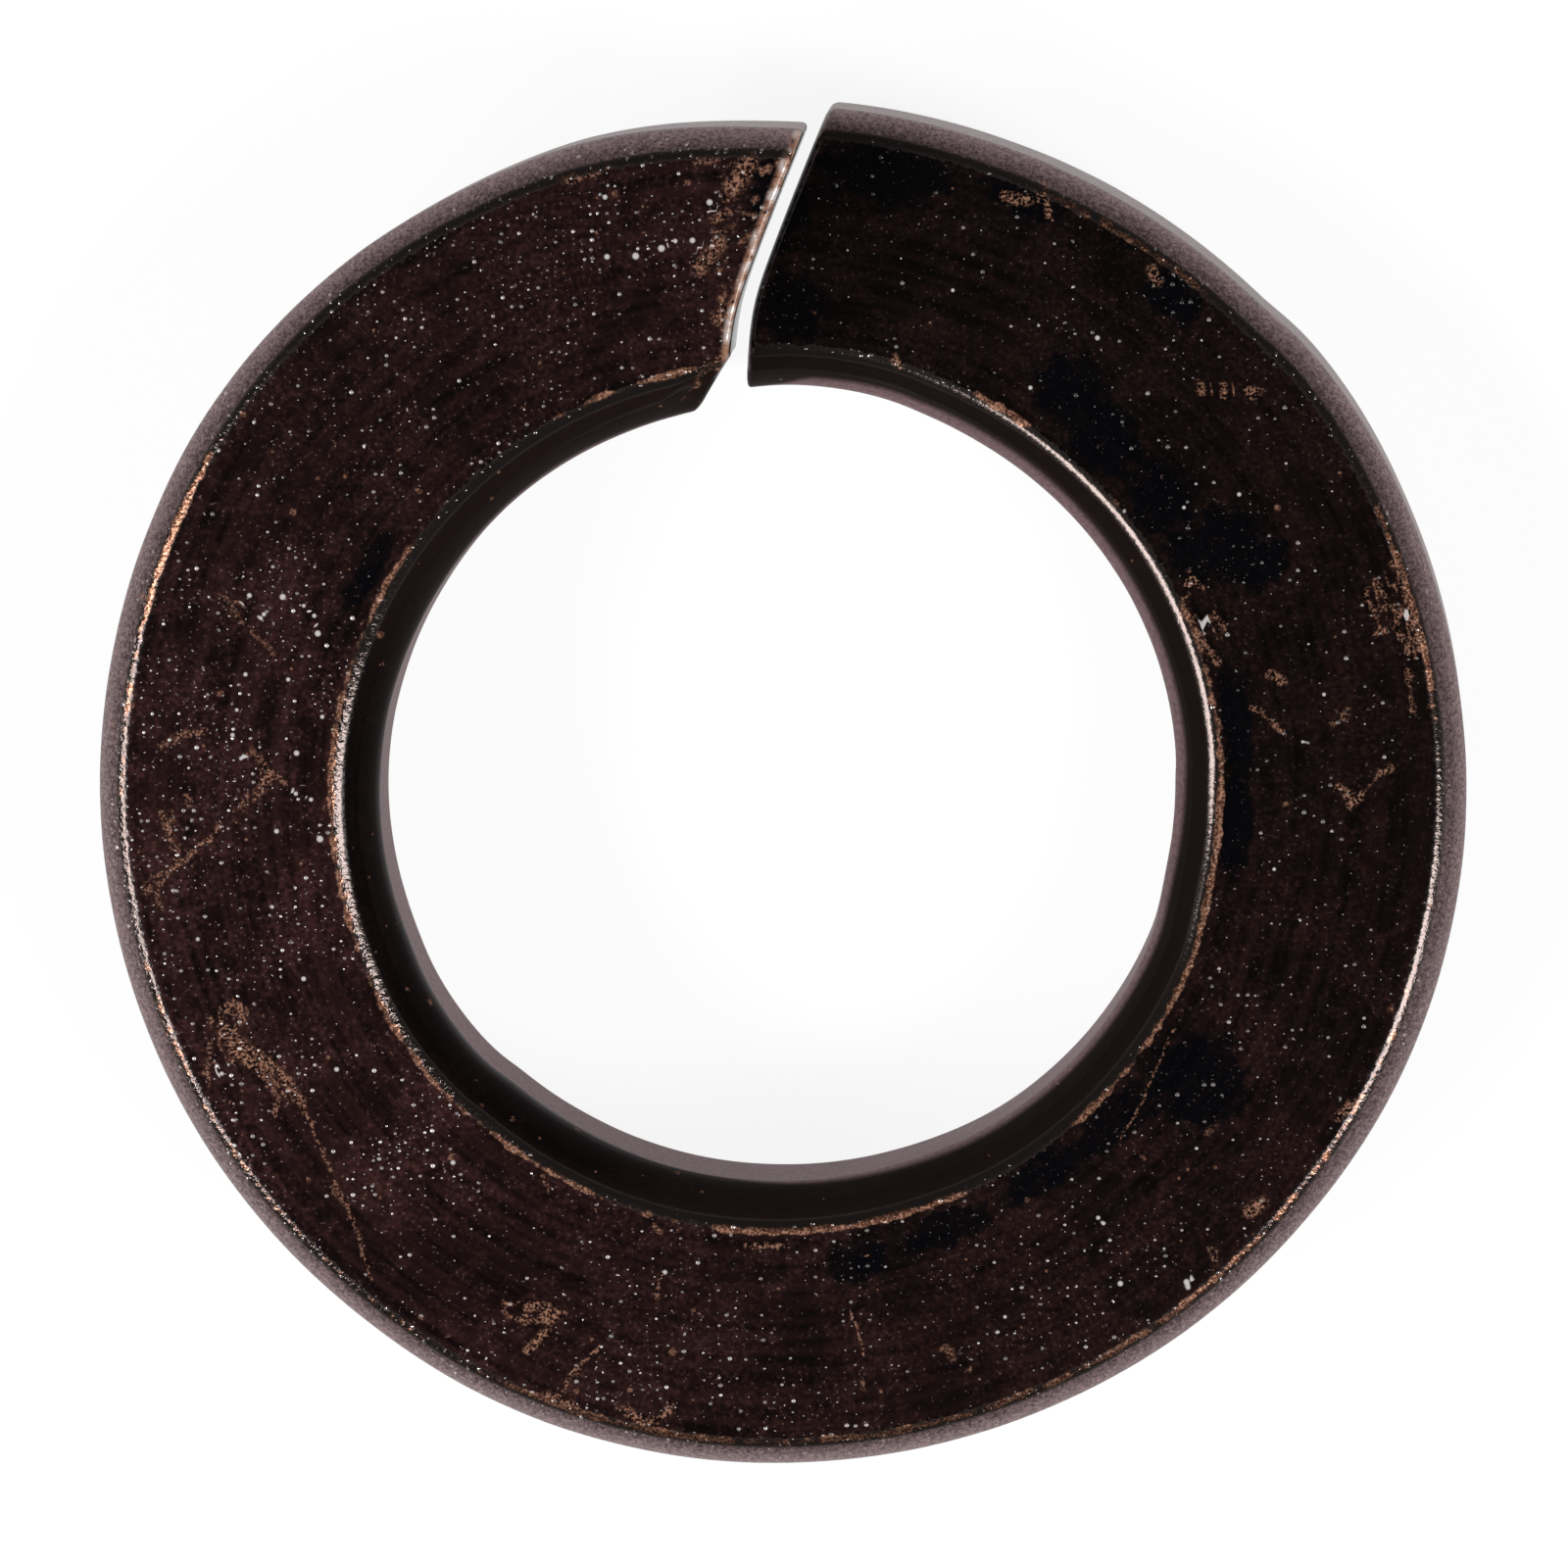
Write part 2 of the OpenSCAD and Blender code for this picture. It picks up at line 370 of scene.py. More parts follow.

# Bright nicks on the upper face, painted white as glints: angle, radius, size
NICK_GLINTS = [
    (104.8, 6.00, 0.045), (102.0, 5.93, 0.055), (99.3, 5.95, 0.055), (97.8, 6.00, 0.035),
    (103.4, 6.60, 0.04), (96.1, 5.98, 0.045), (94.0, 6.35, 0.05), (92.4, 4.90, 0.045),
    (155.4, 5.60, 0.05), (156.6, 5.93, 0.04), (157.9, 5.72, 0.035), (155.4, 5.36, 0.03),
    (156.0, 5.22, 0.035), (157.8, 5.12, 0.05), (164.6, 5.73, 0.035), (164.0, 5.28, 0.035),
    (168.5, 5.75, 0.03), (171.2, 5.76, 0.035), (173.6, 5.65, 0.03), (172.4, 5.07, 0.045),
    (167.5, 4.85, 0.035), (177.3, 5.06, 0.035), (178.0, 4.90, 0.035), (181.7, 5.28, 0.04),
    (183.0, 4.83, 0.055), (191.8, 6.30, 0.035), (190.2, 5.45, 0.03), (199.0, 5.36, 0.04),
    (204.6, 6.58, 0.035), (209.8, 5.49, 0.04), (226.5, 5.20, 0.04), (254.6, 5.22, 0.04),
    (304.9, 5.62, 0.035), (305.0, 5.70, 0.035), (302.8, 6.33, 0.045), (307.8, 6.74, 0.05),
    (307.6, 6.79, 0.045), (291.3, 6.05, 0.03), (349.4, 5.27, 0.03), (3.8, 5.53, 0.025),
    (3.6, 5.58, 0.03), (8.5, 5.82, 0.03), (14.2, 6.86, 0.04), (19.9, 4.78, 0.055), (20.4, 4.84, 0.04),
    (31.3, 5.76, 0.035), (33.5, 5.20, 0.03), (53.4, 5.83, 0.04), (56.6, 5.00, 0.035),
    (69.4, 5.58, 0.03),
]

# Rubbed marks of the underside, made up in the manner of the upper face
LOWER_MARKS = [
    ([(18.0, 6.1), (21.0, 6.3), (25.0, 6.2), (27.0, 6.5)], 0.06, 0.7),
    ([(64.0, 5.3), (72.0, 5.6), (80.0, 5.7)], 0.02, 0.5),
    ([(131.0, 6.5), (133.0, 6.2)], 0.05, 0.7),
    ([(188.0, 5.6), (196.0, 5.8), (203.0, 6.1)], 0.02, 0.6),
    ([(236.0, 6.3), (240.0, 6.4), (243.0, 6.2)], 0.06, 0.7),
    ([(300.0, 5.2), (305.0, 5.5)], 0.05, 0.6),
    ([(338.0, 6.6), (341.0, 6.3), (346.0, 6.5)], 0.05, 0.7),
]

# Blue-black stains on the upper face: angle, radius, half length along the ring, half width
STAINS = [
    (52.5, 5.20, 0.46, 0.46),
    (46.0, 5.05, 0.52, 0.42),
    (50.0, 6.66, 0.40, 0.26),
    (78.5, 6.62, 0.85, 0.36),
    (66.0, 6.75, 0.50, 0.22),
    (87.5, 5.10, 0.42, 0.46),
    (88.0, 6.30, 0.30, 0.60),
    (36.0, 5.05, 0.46, 0.40),
    (28.0, 5.25, 0.40, 0.68),
    (24.0, 5.55, 0.34, 0.42),
    (7.0, 4.86, 0.72, 0.20),
    (354.0, 4.82, 0.70, 0.20),
    (323.5, 5.35, 0.56, 0.62),
    (314.0, 4.95, 0.60, 0.26),
    (303.0, 4.90, 0.60, 0.24),
    (277.5, 5.05, 0.42, 0.28),
    (289.0, 4.92, 0.60, 0.24),
    (148.0, 4.90, 0.60, 0.16),
]

# Distance from a stain's middle, in its half sizes, where it has faded and where it is full
STAIN_FADE = (1.45, 0.35)

# A spark, a painted glint: the brightness of the faintest, and the share of its radius that is soft
FAINTEST_SPARK = 0.25
SPARK_SOFTNESS = 0.4
# A fleck's reach, in its own sizes
FLECK_REACH = 2.2

# Colours of the oxide, the rubbed metal, the stains, the rims and the painted glints and reflections, as
# linear red, green, blue
WARM_DARK = (0.0042, 0.0016, 0.0018, 1.0)
WARM_BROWN = (0.056, 0.0215, 0.0200, 1.0)
COOL_DARK = (0.0012, 0.0007, 0.0007, 1.0)
COOL_BROWN = (0.0100, 0.0052, 0.0040, 1.0)
COPPER_DARK = (0.12, 0.048, 0.030, 1.0)
COPPER_PALE = (0.51, 0.26, 0.170, 1.0)
STAIN_BLUE = (0.0004, 0.0007, 0.0016, 1.0)
CORNER_BROWN = (0.0140, 0.0088, 0.0074, 1.0)
CORNER_BLACK = (0.0050, 0.0034, 0.0034, 1.0)
# The rims' satin colours; the pale one is also their painted reflection of the white table and the painted
# glitter
RIM_DARK = (0.058, 0.036, 0.037, 1.0)
RIM_PALE = (0.35, 0.24, 0.245, 1.0)
# The bore's two colours below paint the white table's reflection on its lower wall; the darker also colours
# the paler line in the inner corner
BORE_DARK = (0.065, 0.036, 0.040, 1.0)
BORE_PALE = (0.34, 0.21, 0.225, 1.0)
POLISHED = (0.10, 0.080, 0.074, 1.0)
# The white below is painted highlight: the glints, the nicks and the shear edge's line
PAINTED_GLINT_WHITE = (0.92, 0.86, 0.84, 1.0)


def ring_point(angle, radius):
    """A point of the ring's plane, from its angle in degrees and its radius."""
    return (radius * cos(radians(angle)), radius * sin(radians(angle)), 0.0)


def new_group(name, inputs, outputs):
    """An empty shader node group with its sockets, and a sketch to fill it."""
    tree = bpy.data.node_groups.new(name, "ShaderNodeTree")
    for socket, (kind, value) in inputs.items():
        made = tree.interface.new_socket(socket, in_out="INPUT", socket_type=kind)
        if value is not None:
            made.default_value = value
    for socket, kind in outputs.items():
        tree.interface.new_socket(socket, in_out="OUTPUT", socket_type=kind)
    sk = NodeSketch(tree)
    given = sk.add("NodeGroupInput").outputs
    result = sk.add("NodeGroupOutput").inputs
    return tree, sk, given, result


def one_stain(sk, place, angle, radius, half_length, half_width):
    """Mask of a soft-edged stain: an ellipse that lies along the ring."""
    reach = sk.vector("SUBTRACT", place, ring_point(angle, radius))
    outward = sk.dot(reach, ring_point(angle, 1.0))
    along = sk.dot(reach, ring_point(angle + 90, 1.0))
    across = sk.square(sk.over(outward, half_width))
    length = sk.square(sk.over(along, half_length))
    return sk.ramp(sk.root(sk.plus(across, length)), *STAIN_FADE)


def all_stains(sk, place):
    total = None
    for stain in STAINS:
        mask = one_stain(sk, place, *stain)
        total = mask if total is None else sk.most(total, mask)
    return total


def speck_group():
    """Specks scattered over the skin: bright painted glints with domes, and larger rubbed flecks."""
    tree, sk, given, result = new_group("painted_glints_and_flecks", {
        "Place": ("NodeSocketVector", None),
        "Facing": ("NodeSocketVector", (0, 0, 1)),
        "Spacing": ("NodeSocketFloat", 0.15),
        "Spark Share": ("NodeSocketFloat", 0.2),
        "Fleck Share": ("NodeSocketFloat", 0.05),
        "Smallest": ("NodeSocketFloat", 0.01),
        "Largest": ("NodeSocketFloat", 0.03),
    }, {"Spark": "NodeSocketFloat", "Fleck": "NodeSocketFloat", "Dome": "NodeSocketFloat"})
    cells = sk.add("ShaderNodeTexVoronoi", {
        "Vector": given["Place"], "Scale": sk.over(1.0, given["Spacing"]), "Randomness": 1.0,
    }, voronoi_dimensions="3D", feature="F1")
    chance, size_chance, other_chance = sk.apart(cells.outputs["Color"])
    reach = sk.vector("SUBTRACT", cells.outputs["Position"], given["Place"])
    flat_reach = sk.vector("SUBTRACT", reach, sk.scaled(given["Facing"], sk.dot(reach, given["Facing"])))
    distance = sk.length(flat_reach)
    big = sk.times(size_chance, sk.times(size_chance, size_chance))
    size = sk.plus(given["Smallest"], sk.times(sk.minus(given["Largest"], given["Smallest"]), big))
    nearness = sk.most(sk.minus(1.0, sk.over(distance, size)), 0.0)
    there = sk.math("LESS_THAN", chance, given["Spark Share"])
    strength = sk.plus(FAINTEST_SPARK, sk.times(sk.square(other_chance), 1.0 - FAINTEST_SPARK))
    # The spark is a painted glint: a white dot laid into the base colour
    spark = sk.times(sk.ramp(nearness, 0.0, SPARK_SOFTNESS), there)
    sk.feed(result["Spark"], sk.times(spark, strength))
    sk.feed(result["Dome"], sk.times(sk.times(nearness, sk.minus(2.0, nearness)), sk.times(there, size)))
    rubbed = sk.math("GREATER_THAN", chance, sk.minus(1.0, given["Fleck Share"]))
    fleck = sk.ramp(distance, sk.times(size, FLECK_REACH), size)
    sk.feed(result["Fleck"], sk.times(fleck, rubbed))
    return tree


def curve_round(sk, share, points):
    """A value given round the ring, read at share 0..1 of a turn from +X."""
    node = sk.add("ShaderNodeFloatCurve", {"Value": share})
    curve = node.mapping.curves[0]
    for angle, value in points[1:-1]:
        curve.points.new(angle / 360, value)
    curve.points[0].location = (0.0, points[0][1])
    curve.points[len(points) - 1].location = (1.0, points[-1][1])
    node.mapping.update()
    return node.outputs[0]


# The washer's form

def fading(sk, distance, length):
    """1 at distance 0, falling softly to 0 at length."""
    turn = sk.times(sk.over(sk.least(distance, length), length), pi)
    return sk.times(sk.plus(sk.math("COSINE", turn), 1.0), 0.5)


def split_run(sk, radius, sizes):
    """Sideways run of the split at a radius: two straight leans joined by a bend."""
    d = sk.minus(sk.minus(radius, sizes["Bore Radius"]), sizes["Split Bend"])
    lean_in = sk.math("TANGENT", sizes["Split Lean Inside"])
    lean = sk.math("TANGENT", sizes["Split Lean"])
    soft = sk.root(sk.plus(sk.square(d), BEND_SOFT ** 2))
    bend = sk.times(sk.times(sk.minus(lean, lean_in), sk.plus(d, soft)), 0.5)
    return sk.plus(sk.times(lean_in, d), bend)


def corner_pull(sk, inward, upward, width, height, power):
    """Moves that bring a square corner onto a curve; inward and upward are the reach into it."""
    share_in = sk.over(inward, width)
    share_up = sk.over(upward, height)
    total = sk.plus(sk.math("POWER", share_in, power), sk.math("POWER", share_up, power))
    reach = sk.math("POWER", sk.plus(total, TINY), 1 / power)
    scale = sk.over(sk.most(share_in, share_up), reach)
    in_corner = sk.math("GREATER_THAN", inward, TINY)
    move_in = sk.minus(sk.times(inward, scale), inward)
    move_up = sk.times(sk.minus(sk.times(upward, scale), upward), in_corner)
    return move_in, move_up


def swell_curve(sk, share, points):
    """Height of a curve given round the ring, read at share 0..1 of a turn from +X."""
    shifted = [(angle, 0.5 + height * MM / SWELL_RANGE) for angle, height in points]
    return sk.times(sk.minus(curve_round(sk, share, shifted), 0.5), SWELL_RANGE)


WASHER_SIZES = {
    "Bore Radius": BORE_R,
    "Wire Width": WIRE_W,
    "Wire Thickness": WIRE_T,
    "Coil Rise": COIL_RISE,
    "Outer Corner": OUTER_CORNER_R,
    "Inner Corner": INNER_CORNER_R,
    "Split Gap": SPLIT_GAP,
    "Split Lean": SPLIT_LEAN,
    "Split Lean Inside": SPLIT_LEAN_IN,
    "Split Bend": SPLIT_BEND,
    "Face Lean": FACE_LEAN,
    "Chip Width": CHIP_W,
    "Chip Length": CHIP_LEN,
    "Flare Width": FLARE_W,
    "Flare Length": FLARE_LEN,
    "Tuck": TUCK,
    "Tuck Length": TUCK_LEN,
    "Cut Edge Radius": CUT_EDGE_R,
    "Wave Height": WAVE_HEIGHT,
    "Wave Size": WAVE_SIZE,
}


def tip_angle():
    """Angle where the underside of the lower end comes down furthest, as in the part's source."""
    def run(r):
        d = r - BORE_R - SPLIT_BEND
        soft = (d + sqrt(d * d + BEND_SOFT ** 2)) / 2
        return tan(SPLIT_LEAN_IN) * d + (tan(SPLIT_LEAN) - tan(SPLIT_LEAN_IN)) * soft

    r = BORE_R + INNER_CORNER_R
    lean = tan(FACE_LEAN) * WIRE_T / 2 / r
    return pi / 2 + asin((run(MID_R) - run(r)) / r) + lean + 2 * pi - SPLIT_GAP / 2 / r


def keep_on_mesh(sk, geometry, name, vector):
    """Stores a vector of each point on the mesh under a name."""
    node = sk.add("GeometryNodeStoreNamedAttribute", data_type="FLOAT_VECTOR", domain="POINT")
    sk.feed(node.inputs["Geometry"], geometry)
    node.inputs["Name"].default_value = name
    sk.feed([s for s in node.inputs if s.name == "Value" and s.type == "VECTOR"][0], vector)
    return node.outputs[0]


def keep_nearest_mark(sk, geometry, flat_place, lift, marks):
    """Stores where each point's nearest mark runs, how far that is, and how wide and strong it is."""
    source = sk.add("GeometryNodeObjectInfo", {"Object": marks}).outputs["Geometry"]
    lifted = sk.shifted(flat_place, sk.together(0.0, 0.0, lift))
    search = {"Geometry": source, "Sample Position": lifted}
    nearest = sk.add("GeometryNodeSampleNearest", search, domain="POINT")

    def read(value):
        node = sk.add(
            "GeometryNodeSampleIndex", {"Geometry": source}, data_type="FLOAT_VECTOR", domain="POINT")
        sk.feed(node.inputs["Value"], value)
        sk.feed(node.inputs["Index"], nearest.outputs["Index"])
        return node.outputs[0]

    spot = read(sk.add("GeometryNodeInputPosition").outputs[0])
    size = sk.add("GeometryNodeInputNamedAttribute", {"Name": "mark_size"}, data_type="FLOAT_VECTOR")
    mark_size = read(size.outputs[0])
    spot_x, spot_y, _ = sk.apart(spot)
    distance = sk.length(sk.vector("SUBTRACT", spot, lifted))
    kept = keep_on_mesh(sk, geometry, "nearest_mark", sk.together(spot_x, spot_y, distance))
    return keep_on_mesh(sk, kept, "mark_size", mark_size)


def mark_points():
    """The marks of both faces as loose points, in millimetres, the lower face's below the plane."""
    spots, sizes = [], []
    for marks, lift in ((UPPER_MARKS, MARK_LIFT), (LOWER_MARKS, -MARK_LIFT)):
        for points, width, strength in marks:
            for start, end in zip(points, points[1:]):
                a, b = Vector(ring_point(*start)), Vector(ring_point(*end))
                steps = max(2, int((b - a).length / MARK_STEP))
                for i in range(steps + 1):
                    x, y, _ = a.lerp(b, i / steps)
                    spots.append((x, y, lift))
                    sizes.append((width * MARK_SPREAD, strength, 0.0))
    for angle, radius, size in NICK_GLINTS:
        x, y, _ = ring_point(angle, radius)
        spots.append((x, y, MARK_LIFT))
        sizes.append((size * NICK_GLINT_SPREAD, 1.0, 1.0))
    mesh = bpy.data.meshes.new("marks")
    mesh.from_pydata(spots, [], [])
    stored = mesh.attributes.new("mark_size", "FLOAT_VECTOR", "POINT")
    for value, size in zip(stored.data, sizes):
        value.vector = size
    holder = bpy.data.objects.new("marks", mesh)
    bpy.context.scene.collection.objects.link(holder)
    return holder


def share_along(sk, x):
    """Share of the way along the wire, with cells crowded at both ends."""
    even = sk.plus(x, 0.5)
    wave = sk.math("SINE", sk.times(even, 2 * pi))
    return sk.minus(even, sk.times(wave, END_CROWDING / (2 * pi)))


def rounded_section(sk, sizes, radius, height, from_raised):
    """The square section with rounded corners; the inner ones widen right at the raised end."""
    half_thickness = sk.times(sizes["Wire Thickness"], 0.5)
    outer, inner = sizes["Outer Corner"], sizes["Inner Corner"]
    outer_edge = sk.plus(sizes["Bore Radius"], sizes["Wire Width"])
    reach_out = sk.most(sk.minus(radius, sk.minus(outer_edge, outer)), 0.0)
    reach_up = sk.most(sk.minus(height, sk.minus(half_thickness, outer)), 0.0)
    move_out, rise_out = corner_pull(sk, reach_out, reach_up, outer, outer, OUTER_CORNER_POWER)

    flare = sk.times(sizes["Flare Width"], fading(sk, from_raised, sizes["Flare Length"]))
    inner_width = sk.plus(inner, flare)
    reach_in = sk.most(sk.minus(sk.plus(sizes["Bore Radius"], inner_width), radius), 0.0)
    reach_up = sk.most(sk.minus(height, sk.minus(half_thickness, inner)), 0.0)
    move_in, rise_in = corner_pull(sk, reach_in, reach_up, inner_width, inner, INNER_CORNER_POWER)
    rounded_radius = sk.minus(sk.plus(radius, move_out), move_in)
    return rounded_radius, sk.plus(sk.plus(height, rise_out), rise_in)


def worn_ends(sk, sizes, radius, level, to_end):
    """Worn edges round both sheared faces: the section draws in over the last cells."""
    edge = sizes["Cut Edge Radius"]
    half_width = sk.times(sizes["Wire Width"], 0.5)
    half_thickness = sk.times(sizes["Wire Thickness"], 0.5)
    middle = sk.plus(sizes["Bore Radius"], half_width)
    left = sk.most(sk.minus(1.0, sk.over(to_end, edge)), 0.0)
    inset = sk.times(edge, sk.minus(1.0, sk.root(sk.minus(1.0, sk.square(left)))))
    share_wide = sk.minus(1.0, sk.over(inset, half_width))
    share_thick = sk.minus(1.0, sk.over(inset, half_thickness))
    drawn_in = sk.plus(middle, sk.times(sk.minus(radius, middle), share_wide))
    return drawn_in, sk.times(level, share_thick)


def coil_angle(sk, sizes, along, radius, level):
    """Angle of a point that is along of the way from the raised end's face to the lower one's."""
    middle = sk.plus(sizes["Bore Radius"], sk.times(sizes["Wire Width"], 0.5))
    run = sk.minus(split_run(sk, middle, sizes), split_run(sk, radius, sizes))
    lean = sk.over(sk.times(sk.math("TANGENT", sizes["Face Lean"]), level), radius)
    split = sk.minus(sk.plus(pi / 2, sk.math("ARCSINE", sk.over(run, radius))), lean)
    chip_edge = sk.plus(sizes["Bore Radius"], sizes["Chip Width"])
    chip_share = sk.over(sk.minus(chip_edge, radius), sizes["Chip Width"])
    chip = sk.times(sizes["Chip Length"], sk.least(sk.most(chip_share, 0.0), 1.0))
    half_gap = sk.times(sizes["Split Gap"], 0.5)
    start = sk.plus(split, sk.over(sk.plus(half_gap, chip), radius))
    end = sk.minus(sk.plus(split, 2 * pi), sk.over(half_gap, radius))
    return sk.plus(start, sk.times(along, sk.minus(end, start)))


def coil_place(sk, sizes, angle, radius, level):
    """Place of a point in the coil, which sinks by the coil's rise in a turn."""
    sink = sk.times(sizes["Coil Rise"], sk.over(sk.minus(tip_angle(), angle), 2 * pi))
    half_thickness = sk.times(sizes["Wire Thickness"], 0.5)
    return sk.together(
        sk.times(radius, sk.math("COSINE", angle)),
        sk.times(radius, sk.math("SINE", angle)),
        sk.plus(sk.plus(half_thickness, sink), level),
    )


def keep_tone(sk, geometry, flat_place, share, across):
    """Stores how warm, how stained and how worn along its edges each point is."""
    outside = sk.math("GREATER_THAN", across, 0.5)
    edge_wear = sk.mixed(
        outside, curve_round(sk, share, INNER_EDGE_WEAR), curve_round(sk, share, OUTER_EDGE_WEAR))
    tone = sk.together(curve_round(sk, share, WARMTH), all_stains(sk, flat_place), edge_wear)
    return keep_on_mesh(sk, geometry, "tone", tone)


def uneven_skin(sk, sizes, geometry):
    """The rolled skin isn't quite even: low waves lift it along its normals."""
    waves = sk.add("ShaderNodeTexNoise", {
        "Scale": sk.over(1.0, sizes["Wave Size"]), "Detail": WAVE_DETAIL, "Roughness": WAVE_ROUGHNESS,
    }, noise_dimensions="3D")
    lift = sk.times(sk.minus(waves.outputs[0], 0.5), sk.times(sizes["Wave Height"], 2.0))
    offset = sk.scaled(sk.add("GeometryNodeInputNormal").outputs[0], lift)
    return sk.add("GeometryNodeSetPosition", {"Geometry": geometry, "Offset": offset}).outputs[0]


def new_washer_tree():
    """The washer's node tree with its sockets, still empty."""
    tree = bpy.data.node_groups.new("bent_spring_wire", "GeometryNodeTree")
    for name, value in WASHER_SIZES.items():
        socket = tree.interface.new_socket(name, in_out="INPUT", socket_type="NodeSocketFloat")
        socket.default_value = value
    tree.interface.new_socket("Marks", in_out="INPUT", socket_type="NodeSocketObject")
    tree.interface.new_socket("Finish", in_out="INPUT", socket_type="NodeSocketMaterial")
    tree.interface.new_socket("Washer", in_out="OUTPUT", socket_type="NodeSocketGeometry")
    return tree


def washer_tree():
    """A node tree that bends a straight bar of flat wire into the washer."""
    tree = new_washer_tree()
    sk = NodeSketch(tree)
    sizes = sk.add("NodeGroupInput").outputs

    # The straight square bar
    bar = sk.add("GeometryNodeMeshCube", {
        "Size": (1.0, 1.0, 1.0),
        "Vertices X": CELLS_ALONG + 1,
        "Vertices Y": CELLS_ACROSS + 1,
        "Vertices Z": CELLS_THICK + 1,
    })
    x, y, z = sk.apart(sk.add("GeometryNodeInputPosition").outputs[0])
    along = share_along(sk, x)
    across = sk.plus(y, 0.5)
    from_raised = sk.times(along, TURN_LEN)
    from_lower = sk.times(sk.minus(1.0, along), TURN_LEN)
    radius = sk.plus(sizes["Bore Radius"], sk.times(sizes["Wire Width"], across))
    level = sk.times(z, sizes["Wire Thickness"])
    side = sk.math("SIGN", level)

    # Its section: rounded corners, an outer side that runs in near the raised end, worn ends
    radius, height = rounded_section(sk, sizes, radius, sk.math("ABSOLUTE", level), from_raised)
    tuck = sk.times(sizes["Tuck"], fading(sk, from_raised, sizes["Tuck Length"]))
    radius = sk.minus(radius, sk.times(tuck, across))
    to_end = sk.least(from_raised, from_lower)
    radius, level = worn_ends(sk, sizes, radius, sk.times(height, side), to_end)

    # The coil, with its departures from true circles
    angle = coil_angle(sk, sizes, along, radius, level)
    share = sk.math("FRACT", sk.over(angle, 2 * pi))
    outer_swell = sk.times(swell_curve(sk, share, OUTER_SWELL), across)
    inner_swell = sk.times(swell_curve(sk, share, INNER_SWELL), sk.minus(1.0, across))
    radius = sk.plus(radius, sk.plus(outer_swell, inner_swell))
    place = coil_place(sk, sizes, angle, radius, level)

    # What the finish needs to know of each point, kept on the mesh in millimetres
    wire_place = sk.together(
        sk.times(from_raised, 1 / MM), sk.times(y, WIRE_W / MM), sk.times(level, 1 / MM))
    place_x, place_y, _ = sk.apart(sk.scaled(place, 1 / MM))
    flat_place = sk.together(place_x, place_y, 0.0)
    kept = keep_on_mesh(sk, bar.outputs["Mesh"], "wire_place", wire_place)
    kept = keep_tone(sk, kept, flat_place, share, across)
    kept = keep_nearest_mark(sk, kept, flat_place, sk.times(side, MARK_LIFT), sizes["Marks"])

    bent = sk.add("GeometryNodeSetPosition", {"Geometry": kept, "Position": place})
    skin = uneven_skin(sk, sizes, bent.outputs[0])
    smooth = sk.add("GeometryNodeSetShadeSmooth", {"Geometry": skin, "Shade Smooth": True})
    real = sk.add("GeometryNodeRealizeInstances", {"Geometry": smooth.outputs[0]})
    coated = sk.add("GeometryNodeSetMaterial", {"Geometry": real.outputs[0], "Material": sizes["Finish"]})
    sk.add("NodeGroupOutput", {"Washer": coated.outputs[0]})
    return tree


def bend_washer(finish):
    """The washer as a plain mesh in its place, made by the node tree."""
    holder = bpy.data.objects.new("spring_wire", bpy.data.meshes.new("spring_wire"))
    bpy.context.scene.collection.objects.link(holder)
    marks = mark_points()
    given = dict(WASHER_SIZES, Finish=finish, Marks=marks)
    bender = holder.modifiers.new("bend", "NODES")
    bender.node_group = washer_tree()
    for item in bender.node_group.interface.items_tree:
        if item.in_out == "INPUT":
            bender[item.identifier] = given[item.name]
    bpy.context.view_layer.update()
    evaluated = holder.evaluated_get(bpy.context.evaluated_depsgraph_get())
    mesh = bpy.data.meshes.new_from_object(evaluated)
    bpy.data.objects.remove(holder)
    bpy.data.objects.remove(marks)
    washer = bpy.data.objects.new("spring_lock_washer", mesh)
    bpy.context.scene.collection.objects.link(washer)
    return washer


# The finish
#
# Sizes in this part are in millimetres. A pair such as (0.27, 0.19) says where a mask
# is 0 and where it is 1.

HALF_WIDTH = WIRE_W / MM / 2
TURN = TURN_LEN / MM
INNER_CORNER_AT = INNER_CORNER_R / MM
OUTER_CORNER_AT = OUTER_CORNER_R / MM

# How far up a face points, where it counts as the upper face, a flat or the top of an edge
UPPER_FACING = (0.2, 0.6)
FLAT_FACING = (0.4, 0.9)
EDGE_FACING = (0.25, 0.6)

# Sides of the wire: the outer rim from the outside, the others from the bore
OUTER_RIM_EDGE = (0.27, 0.19)
BORE_WALL_EDGE = (0.05, -0.02)
# The next sets where the painted reflection of the white table on the bore's wall begins, from the bore
WALL_REFLECTION_EDGE = (0.22, 0.14)
INNER_CORNER_EDGE = (INNER_CORNER_AT - 0.01, INNER_CORNER_AT - 0.07)
# Distance from the wire's ends within which a point is on a sheared face
SHEARED_FACE = (0.03, 0.0)
# Level in the bore's wall, from the wire's middle, above which the wall is dark and below
# which it carries a painted reflection of the white table, where the oxide is red-brown and
# where it is neutral black, and how softly it turns dark
WALL_DARK_FROM = 0.38
WALL_DARK_FROM_COOL = 0.86
WALL_DARK_EDGE = (0.05, -0.05)

# Unevenness: sizes of its noises, and shifts that keep two of them apart
CLOUD_SIZE = 0.9
MOTTLE_SIZE = 0.20
RAGGED_SIZE = 0.15
RAGGED_SHIFT = (3.1, 8.7, 2.2)
SHAKE_SIZE = 0.12
GRAIN_SIZE = 0.050
PEBBLE_SIZE = 0.026
PEBBLE_SHIFT = (7.3, 1.9, 4.4)
# Drawn lines: how densely they change along the wire and across it
DRAWN_ALONG = 0.35
DRAWN_ACROSS = 9.0

